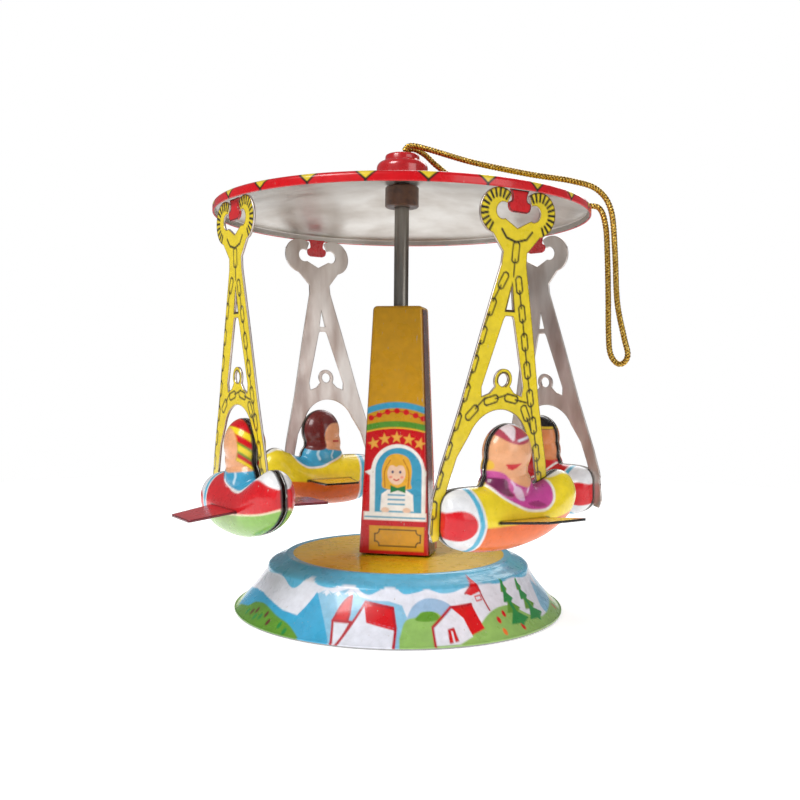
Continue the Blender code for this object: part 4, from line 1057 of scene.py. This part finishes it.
def chain(art, line, count, size=(1.45, 0.62)):
    """Oblong links drawn one after another along a line, with a short line from each to the next."""
    pts = smooth_line(line)
    along = run_along(pts)
    gap = along[-1] / count
    for k in range(count):
        at = gap * (k + 0.5)
        before, centre, after = [np.array([np.interp(at + step, along, pts[:, j]) for j in (0,
            1)]) for step in (-0.3, 0, 0.3)]
        way = (after - before) / np.linalg.norm(after - before)
        cross = np.array([-way[1], way[0]])
        half, wide = size
        corner = [(half, wide - LINK_CUT), (half - LINK_CUT, wide)]
        corner += [(-u, v) for u, v in corner[::-1]]
        ring = [centre + u * way + v * cross for u, v in corner + [(-u, -v) for u, v in corner]]
        art.line(BLACK, ring, 0.3, closed=True)
        art.line(BLACK, [centre + way * (half - 0.5), centre + way * (gap - half + 0.5)], 0.3)


def paint_hanger(art):
    """The printed chains and the claws' stripes, about the hanger's own centre line."""
    outer_chain = [(-0.9, 64.0), (-3.9, 57.6), (-6.1, 49.6), (-8.3, 40.9), (-10.9, 31.5), (-12, 26.5),
        (-12, 21.5)]
    inner_chain = [(0.9, 63.6), (1.9, 59.6), (2.6, 57.0), (5.0, 47.2), (6.9, 40.0), (8.7, 33.4), (10.6, 25.4)]
    chain(art, outer_chain, 9)
    chain(art, inner_chain, 8)
    chain(art, [(0.1, 69.2), (0.1, 64.0)], 1, (1.7, 0.7))
    chain(art, [(-7.6, 38.2), (-4.6, 40.9), (0, 42.2), (4.2, 41.2), (6.6, 37.6)], 4)
    art.area(BLACK, [(0, 61.9), (1.15, 56.6), (-1.15, 56.6)])
    art.line(BLACK, arc(0, 45.2, 1.3, -60, 200, 20), 0.24)
    for side in (-1, 1):
        for degrees in range(-64, 128, 17):
            a = math.radians(degrees)
            reach = [(side * (CLAW[0] + r * math.cos(a)), CLAW[1] + r * math.sin(a)) for r in (2.35, 3.9)]
            art.line(BLACK, reach, 0.46)
        art.line(BLACK, [(side * x, z) for x, z in arc(*CLAW, 3.8, -64, 128, 24)], 0.2)
    art.line(BLACK, [(-3.3, 70.2), (-2.2, 68.9), (0, 68.3), (2.2, 68.9), (3.3, 70.2)], 0.4)


def make_hanger(place, rest):
    name = "hanger_" + place
    loops = hanger_loops()
    mesh = plate_of(name, [leaned(loop) for loop in loops], HANGER_STEP, TIN / 2)
    points = points_of(mesh)
    own = np.column_stack([points[:, 0] - LEAN * points[:, 1], points[:, 1] + SWING_Z])
    art = Canvas(own, srgb(232, 206, 36), soft=0.16)
    paint_hanger(art)
    for loop in loops:
        art.line(srgb(120, 84, 30), loop, 0.16, closed=True)
    hang(name, mesh, art.rgb, rest, [PRINTED, DULL_TIN], "swing_" + place, [name])


def oval_skin(rings):
    """A closed skin over rings of points."""
    count = len(rings[0])
    points = np.concatenate(rings + [rings[0].mean(axis=0)[None], rings[-1].mean(axis=0)[None]])
    faces = grid_faces(len(rings), count, closed=True)
    last = (len(rings) - 1) * count
    for j in range(count):
        k = (j + 1) % count
        faces.append((k, j, len(points) - 2))
        faces.append((last + j, last + k, len(points) - 1))
    return points, faces


def ball(x, z, radii):
    """An egg on the seam's plane, in the swing's frame."""
    a = np.linspace(0, TURN, 48, endpoint=False)
    rings = []
    for row in np.linspace(0.04, math.pi - 0.04, 24):
        level = np.full(len(a), z - SWING_Z + radii[1] * np.cos(row))
        rings.append(np.stack([x + radii[0] * np.sin(row) * np.cos(a), level,
            radii[2] * np.sin(row) * np.sin(a)], 1))
    return oval_skin(rings)


def rocket_skin():
    """Body, shoulders and head of a rocket and its rider as one smooth closed skin, in millimetres, in the
    swing's frame (x along the rocket, y up, z out)."""
    at = np.concatenate([np.linspace(-15.6, -12, 12), np.linspace(-11.5, 11, 40), np.linspace(11.4, 15, 12)])
    smooth = smooth_line(BODY, 8)
    a = np.linspace(0, TURN, 64, endpoint=False)
    rings = []
    for x in at:
        low, high, width = [np.interp(x, smooth[:, 0], smooth[:, k]) for k in (1, 2, 3)]
        if x < NOSE_START:
            x = NOSE_START + (x - NOSE_START) * NOSE_SQUEEZE
        rings.append(np.stack([np.full(64, x), (low + high) / 2 - SWING_Z + (high - low) / 2 * np.cos(a),
            width * np.sin(a)], axis=1))
    bm = bmesh.new()
    shoulders = ball(-0.2, 26.8, (5.4, 4.4, 3.7))
    head = ball(-0.2, 33.0, (4.6, 4.9, 3.6))
    neck = ball(-0.6, 30.2, (4.5, 4.2, 3.3))
    for points, faces in (oval_skin(rings), shoulders, head, neck):
        verts = [bm.verts.new(p) for p in points]
        for face in faces:
            bm.faces.new([verts[k] for k in face])
    bmesh.ops.recalc_face_normals(bm, faces=bm.faces)
    rough = bpy.data.meshes.new("rocket_skin")
    bm.to_mesh(rough)
    bm.free()
    guide = new_object("rocket_skin", rough)
    remesh = guide.modifiers.new("skin", "REMESH")
    remesh.mode = "VOXEL"
    remesh.voxel_size = SKIN_STEP
    relax = guide.modifiers.new("relax", "SMOOTH")
    relax.factor = 0.5
    relax.iterations = 5
    bpy.context.view_layer.update()
    graph = bpy.context.evaluated_depsgraph_get()
    skin = bpy.data.meshes.new_from_object(guide.evaluated_get(graph), depsgraph=graph)
    bpy.data.objects.remove(guide, do_unlink=True)
    bpy.data.meshes.remove(rough)
    return skin


def half_skin(skin, side):
    """The part of the skin on one side of the seam, as an open sheet in metres."""
    bm = bmesh.new()
    bm.from_mesh(skin)
    whole = bm.verts[:] + bm.edges[:] + bm.faces[:]
    bmesh.ops.bisect_plane(bm, geom=whole, plane_co=(0, 0, side * SEAM), plane_no=(0, 0, side),
        clear_inner=True)
    for v in bm.verts:
        v.co *= MM
    mesh = bpy.data.meshes.new("rocket_half")
    bm.to_mesh(mesh)
    bm.free()
    return mesh


RED_SHIP = (srgb(208, 20, 30), srgb(140, 188, 86), srgb(236, 224, 190))  # upper side, belly, line between
YELLOW_SHIP = (srgb(238, 212, 36), srgb(226, 106, 40), srgb(226, 106, 40))
YELLOW_PLACES = ("front_right", "back_left")
# Pale blue of the painted highlight strokes on the cyan shirts.
SHIRT_HIGHLIGHT = srgb(190, 222, 236)


def paint_ship(art, lower, trim):
    """Belly, and the nose with its round mark and ring."""
    belly = smooth_line([(-16, 21.0), (-9, 21.1), (0, 21.3), (6, 21.6), (12, 22.2), (16, 23.4)])
    art.below(lower, belly)
    art.line(trim, belly, 0.3)
    nose = [(-17, 15), (-17, 29), (-8.9, 29), (-8.2, 25), (-7.6, 21.6), (-8.0, 18), (-8.9, 15)]
    art.area(srgb(232, 232, 234), nose)
    art.oval(srgb(212, 22, 34), (-12.3, 21.7), (2.9, 2.55))
    art.line(srgb(84, 178, 208), [(-9.9, 29), (-9.1, 25), (-8.5, 21.7), (-8.9, 18.4), (-9.9, 14)], 0.95)


def paint_cockpit(art, shirt, shirt_highlight, lift=0.0):
    """The rider's shirt in the cockpit's opening, whose lower edge may be lifted, with two pale strokes of
    painted highlight on it.
    """
    rim = [(-5.2, 27.6), (-3.4, 25.9), (-0.9, 24.5), (1.5, 23.6), (5.0, 23.5), (7.0, 24.6), (7.8, 26.3),
        (8.0, 27.8)]
    rim = smooth_line([(x, z + lift * min(1, (28 - z) / 3)) for x, z in rim])
    art.above(shirt, rim)
    # Two pale strokes: painted highlight on the shirt.
    art.stroke(shirt_highlight, [(1.6, 29.2), (2.3, 27.8), (1.9, 26.6)], 0.5)
    art.stroke(shirt_highlight, [(-1.6, 28.4), (-1.0, 27.4), (-1.2, 26.8)], 0.4)
    art.line(srgb(240, 238, 232), rim, 0.42)


def paint_front_right(art):
    paint_cockpit(art, PINK, srgb(228, 190, 226))
    art.blob(PLUM, [(-5.4, 28.8), (-4.6, 27.4), (-2.6, 26.0), (-1.2, 26.0), (-2.2, 27.2), (-2.6, 28.8)])
    art.blob(srgb(226, 196, 226), [(-1.2, 27.6), (0.2, 27.2), (1.2, 25.4), (0.2, 25.2), (-1.0, 26.2)])
    art.blob(srgb(150, 50, 110), [(1.6, 24.6), (3.6, 24.0), (5.4, 24.2), (3.6, 25.0)])
    face = [(-6, 30.3), (-3.2, 29.9), (-1.3, 28.4), (0.5, 27.6), (2.4, 27.3), (3.4, 28.4), (4.8, 29.2)]
    art.area(SKIN, [*smooth_line(face), (4.8, 39), (-6, 39)])
    art.blob(srgb(232, 184, 60), [(-6, 30.2), (-4.5, 30.4), (-4.3, 31.5), (-5.0, 32.2), (-5.2, 33.1),
        (-6, 33.3)])
    art.area(srgb(204, 20, 34), [(-2.7, 31.3), (0.4, 31.4), (-0.5, 30.7), (-1.5, 30.3), (-2.3, 30.5)])
    art.line(PLUM, [(4.2, 33.0), (3.9, 30.5), (3.7, 28.3)], 0.6)
    hat = smooth_line([(-5.0, 38.2), (-4.2, 36.7), (-2.8, 35.3), (-0.9, 34.6), (1.2, 34.7), (3.4, 35.4),
        (5, 36.2)])
    art.area(srgb(176, 66, 84), [*hat, (5, 40), (-5, 40)])
    art.blob(srgb(232, 214, 218), [(-2.7, 38.2), (-2.5, 36.7), (-1.5, 35.2), (-0.8, 36.2), (-0.3, 37.4),
        (-1.2, 38.2)])
    art.stroke(WHITE, [(-0.8, 38.2), (1.2, 37.4), (3.3, 36.1)], 0.55)
    art.stroke(WHITE, [(-0.4, 35.2), (1.2, 35.5), (2.8, 35.7)], 0.4)


def paint_front_left(art):
    paint_cockpit(art, CYAN, SHIRT_HIGHLIGHT, 1.9)
    art.area(SKIN, [(-6, 28.8), (0, 28.3), (5.2, 28.8), (5.2, 39), (-6, 39)])
    art.line(LIP, [(-3.9, 30.6), (-2.6, 30.6)], 0.4)


def paint_braid(end_view):
    """Slanting stripes that meet at the seam, from the crown down the back of the head."""
    foot = 28.4
    rise = 0.8 * BRAID_HALF
    for top, colour in ((39.0, RED), (34.6, YELLOW), (33.2, RED), (31.8, LEAF), (31.4, YELLOW), (30.2, LEAF),
            (29.8, RED), (29.0, YELLOW)):
        end_view.area(colour, [(-BRAID_HALF, top + rise), (0, top), (BRAID_HALF, top + rise),
            (BRAID_HALF, 30.6), (0, foot), (-BRAID_HALF, 30.6)])


def paint_back_left(art):
    paint_cockpit(art, CYAN, SHIRT_HIGHLIGHT, 1.4)
    maroon = srgb(104, 34, 32)
    art.blob(SKIN, [(-6, 28.9), (-2.0, 28.6), (0.4, 29.4), (0.4, 33.0), (-1.6, 34.8), (-6, 35.0)])
    art.blob(maroon, [(0.2, 29.0), (4.4, 29.2), (4.6, 34.0), (2.4, 38.2), (-6, 38.4), (-6, 35.0),
        (-1.2, 34.6), (0.6, 32.4)])
    art.line(LIP, [(-3.4, 30.6), (-1.8, 30.6)], 0.4)


def paint_back_right(art):
    paint_cockpit(art, srgb(206, 30, 40), srgb(240, 180, 120))
    art.blob(srgb(226, 140, 84), [(-6, 28.9), (-2.0, 28.6), (0.8, 29.4), (0.8, 33.0), (-1.2, 34.8),
        (-6, 35.0)])
    art.blob(srgb(26, 20, 24), [(0.6, 29.0), (4.4, 29.2), (4.6, 34.0), (2.4, 38.2), (-6, 38.4), (-6, 35.2),
        (-1.0, 34.8), (0.9, 32.4)])
    art.line(srgb(240, 200, 50), [(-6, 35.2), (-0.6, 35.4), (4.6, 33.8)], 0.45)
    art.oval(srgb(206, 60, 50), (-1.6, 31.0), (0.7, 0.6))


RIDERS = {
    "front_right": paint_front_right,
    "back_right": paint_back_right,
    "back_left": paint_back_left,
    "front_left": paint_front_left,
}


def seen_from_behind(art, points, chosen):
    """A view of the same colours by the distance from the seam and the height, for the chosen points."""
    far_off = -99
    view = Canvas(np.column_stack([points[:, 2], np.where(chosen, points[:, 1] + SWING_Z, far_off)]), BLACK,
        0.24)
    view.rgb = art.rgb
    return view


def make_rocket(place, rest, halves):
    yellow = place in YELLOW_PLACES
    upper, lower, trim = YELLOW_SHIP if yellow else RED_SHIP
    for side, mesh in halves.items():
        mesh = mesh.copy()
        points = points_of(mesh)
        height = points[:, 1] + SWING_Z
        art = Canvas(np.column_stack([points[:, 0], height]), upper, soft=0.24)
        paint_ship(art, lower, trim)
        RIDERS[place](art)
        tail = seen_from_behind(art, points, points[:, 0] > TAIL_START)
        # On the yellow ships the small pale oval at the tail's end is a painted highlight; on the red ships the
        # white oval is the printed tail patch.
        if yellow:
            tail.oval(srgb(232, 228, 214), (0, 28.9), (1.6, 0.9))
        else:
            tail.oval(srgb(236, 236, 236), (0, 28.3), (2.8, 1.9))
        if place == "front_left":
            behind = (points[:, 0] > BRAID_START - 0.35 * (height - 33)) & (points[:, 0] < BRAID_END)
            paint_braid(seen_from_behind(art, points, behind))
        art.line(BLACK, [(-WING_ROOT, WING_Z), (5.7, WING_Z)], 0.55)
        edge = np.clip((SEAM + 0.42 - np.abs(points[:, 2])) / 0.16, 0, 1)[:, None]
        colours = art.rgb * (1 - edge) + np.array(BLACK) * edge
        hang(f"rocket_{side}_{place}", mesh, colours, rest, [PRINTED, BARE_TIN], "swing_" + place,
            [f"rocket_{side}_shell_{place}"], SHELL_TIN, 60)


def make_wing(place, rest):
    name = "wing_" + place
    right = [(WING_ROOT, -5.0), (WING_REACH - 0.5, -2.5), (WING_REACH - 0.1, -2.3), (WING_REACH, -2.0),
        (WING_REACH, 5.5), (WING_REACH - 0.2, 5.9), (WING_REACH - 0.5, 6.0), (WING_ROOT, 5.5)]
    outline = right + [(-x, t) for x, t in reversed(right)]
    mesh = plate_of(name, [outline], 0.3, TIN / 2)
    points = points_of(mesh)
    yellow = place in YELLOW_PLACES
    art = Canvas(points[:, :2], srgb(222, 160, 34) if yellow else srgb(204, 40, 48), soft=0.2)
    art.line(BLACK if yellow else DARK_RED, outline, 0.7 if yellow else 0.25, closed=True)
    drop = np.maximum(np.abs(points[:, 0]) - WING_ROOT, 0) * math.tan(math.radians(WING_DROOP.get(place, 3)))
    placed = np.column_stack([points[:, 1], WING_Z - SWING_Z - drop + points[:, 2], points[:, 0]])
    mesh.vertices.foreach_set("co", (placed * MM).ravel())
    mesh.update()
    hang(name, mesh, art.rgb, rest, [PRINTED], "swing_" + place, ["wing_plate_" + place])


def make_swings():
    skin = rocket_skin()
    halves = {"outer": half_skin(skin, 1), "inner": half_skin(skin, -1)}
    bpy.data.meshes.remove(skin)
    for place, rest in SWINGS.items():
        make_hanger(place, rest)
        make_rocket(place, rest, halves)
        make_wing(place, rest)


make_swings()


# ---- clockwork and key
MOVEMENT = (
    (BARE_TIN, "base_bottom_plate"),
    (BRASS, "shaft_bushing front_movement_plate rear_movement_plate footstep_bearing great_wheel crown_pinion"),
    (BRASS, "crown_wheel shaft_pinion"),
    (SPRING_STEEL, "mainspring ratchet_washer"),
    (STEEL, "pillar_lower_left pillar_lower_right pillar_upper_left pillar_upper_right shaft_retaining_ring"),
    (STEEL, "winding_arbor winding_key crown_arbor"),
)


def finish_movement():
    """The clockwork keeps its CAD shape and gets its metals."""
    metals = {name: metal for metal, names in MOVEMENT for name in names.split()}
    for obj in bpy.context.scene.objects:
        if obj.name not in metals or obj.type != "MESH":
            continue
        obj.data.materials.clear()
        obj.data.materials.append(metals[obj.name])
        for slot in obj.material_slots:
            slot.link = "OBJECT"
            slot.material = metals[obj.name]


finish_movement()


# ---- stage and light
FLOOR_R = 260.0
FLOOR_SIDES = 96
FLOOR_DROP = -0.00005  # metres
MIDDLE_Z = 0.045  # metres


def area_light(name, place, size, power):
    """A soft square light that looks at the middle of the toy."""
    data = bpy.data.lights.new(name, "AREA")
    data.size = size
    data.energy = power
    light = new_object(name, data)
    way = Vector((0, 0, MIDDLE_Z)) - Vector(place)
    light.matrix_world = Matrix.Translation(place) @ way.to_track_quat("-Z", "Y").to_matrix().to_4x4()


def make_world():
    """Soft grey light all round; the camera itself sees plain white behind the toy."""
    world = bpy.data.worlds.new("studio")
    bpy.context.scene.world = world
    world.use_nodes = True
    tree = world.node_tree
    around = tree.nodes["Background"]
    put(tree, around, {"Color": (0.80, 0.82, 0.85, 1), "Strength": 0.28})
    seen = node(tree, "Background", {"Color": (1, 1, 1, 1), "Strength": 1.0})
    ray = node(tree, "LightPath", {}).outputs["Is Camera Ray"]
    either = node(tree, "MixShader", {0: ray, 1: around.outputs["Background"], 2: seen.outputs["Background"]})
    put(tree, tree.nodes["World Output"], {"Surface": either.outputs["Shader"]})
    bpy.context.scene.view_settings.view_transform = "Standard"


def make_floor():
    rim = turned_points([(FLOOR_R, 0)], FLOOR_SIDES)
    mesh = mesh_of("floor", rim, [tuple(range(FLOOR_SIDES))])
    pale, tree, shader = new_material("pale_floor")
    put(tree, shader, {"Base Color": (0.93, 0.93, 0.93, 1), "Roughness": 0.9, "Emission Color": (1, 1, 1, 1),
                       "Emission Strength": 0.5})
    mesh.materials.append(pale)
    floor = new_object("floor", mesh)
    floor.location.z = FLOOR_DROP


make_world()
area_light("key_light", (-0.30, -0.45, 0.50), 0.30, 3.5)
area_light("fill_light", (0.55, -0.35, 0.20), 0.40, 1.2)
area_light("back_light", (0.10, 0.50, 0.45), 0.40, 2.0)
make_floor()
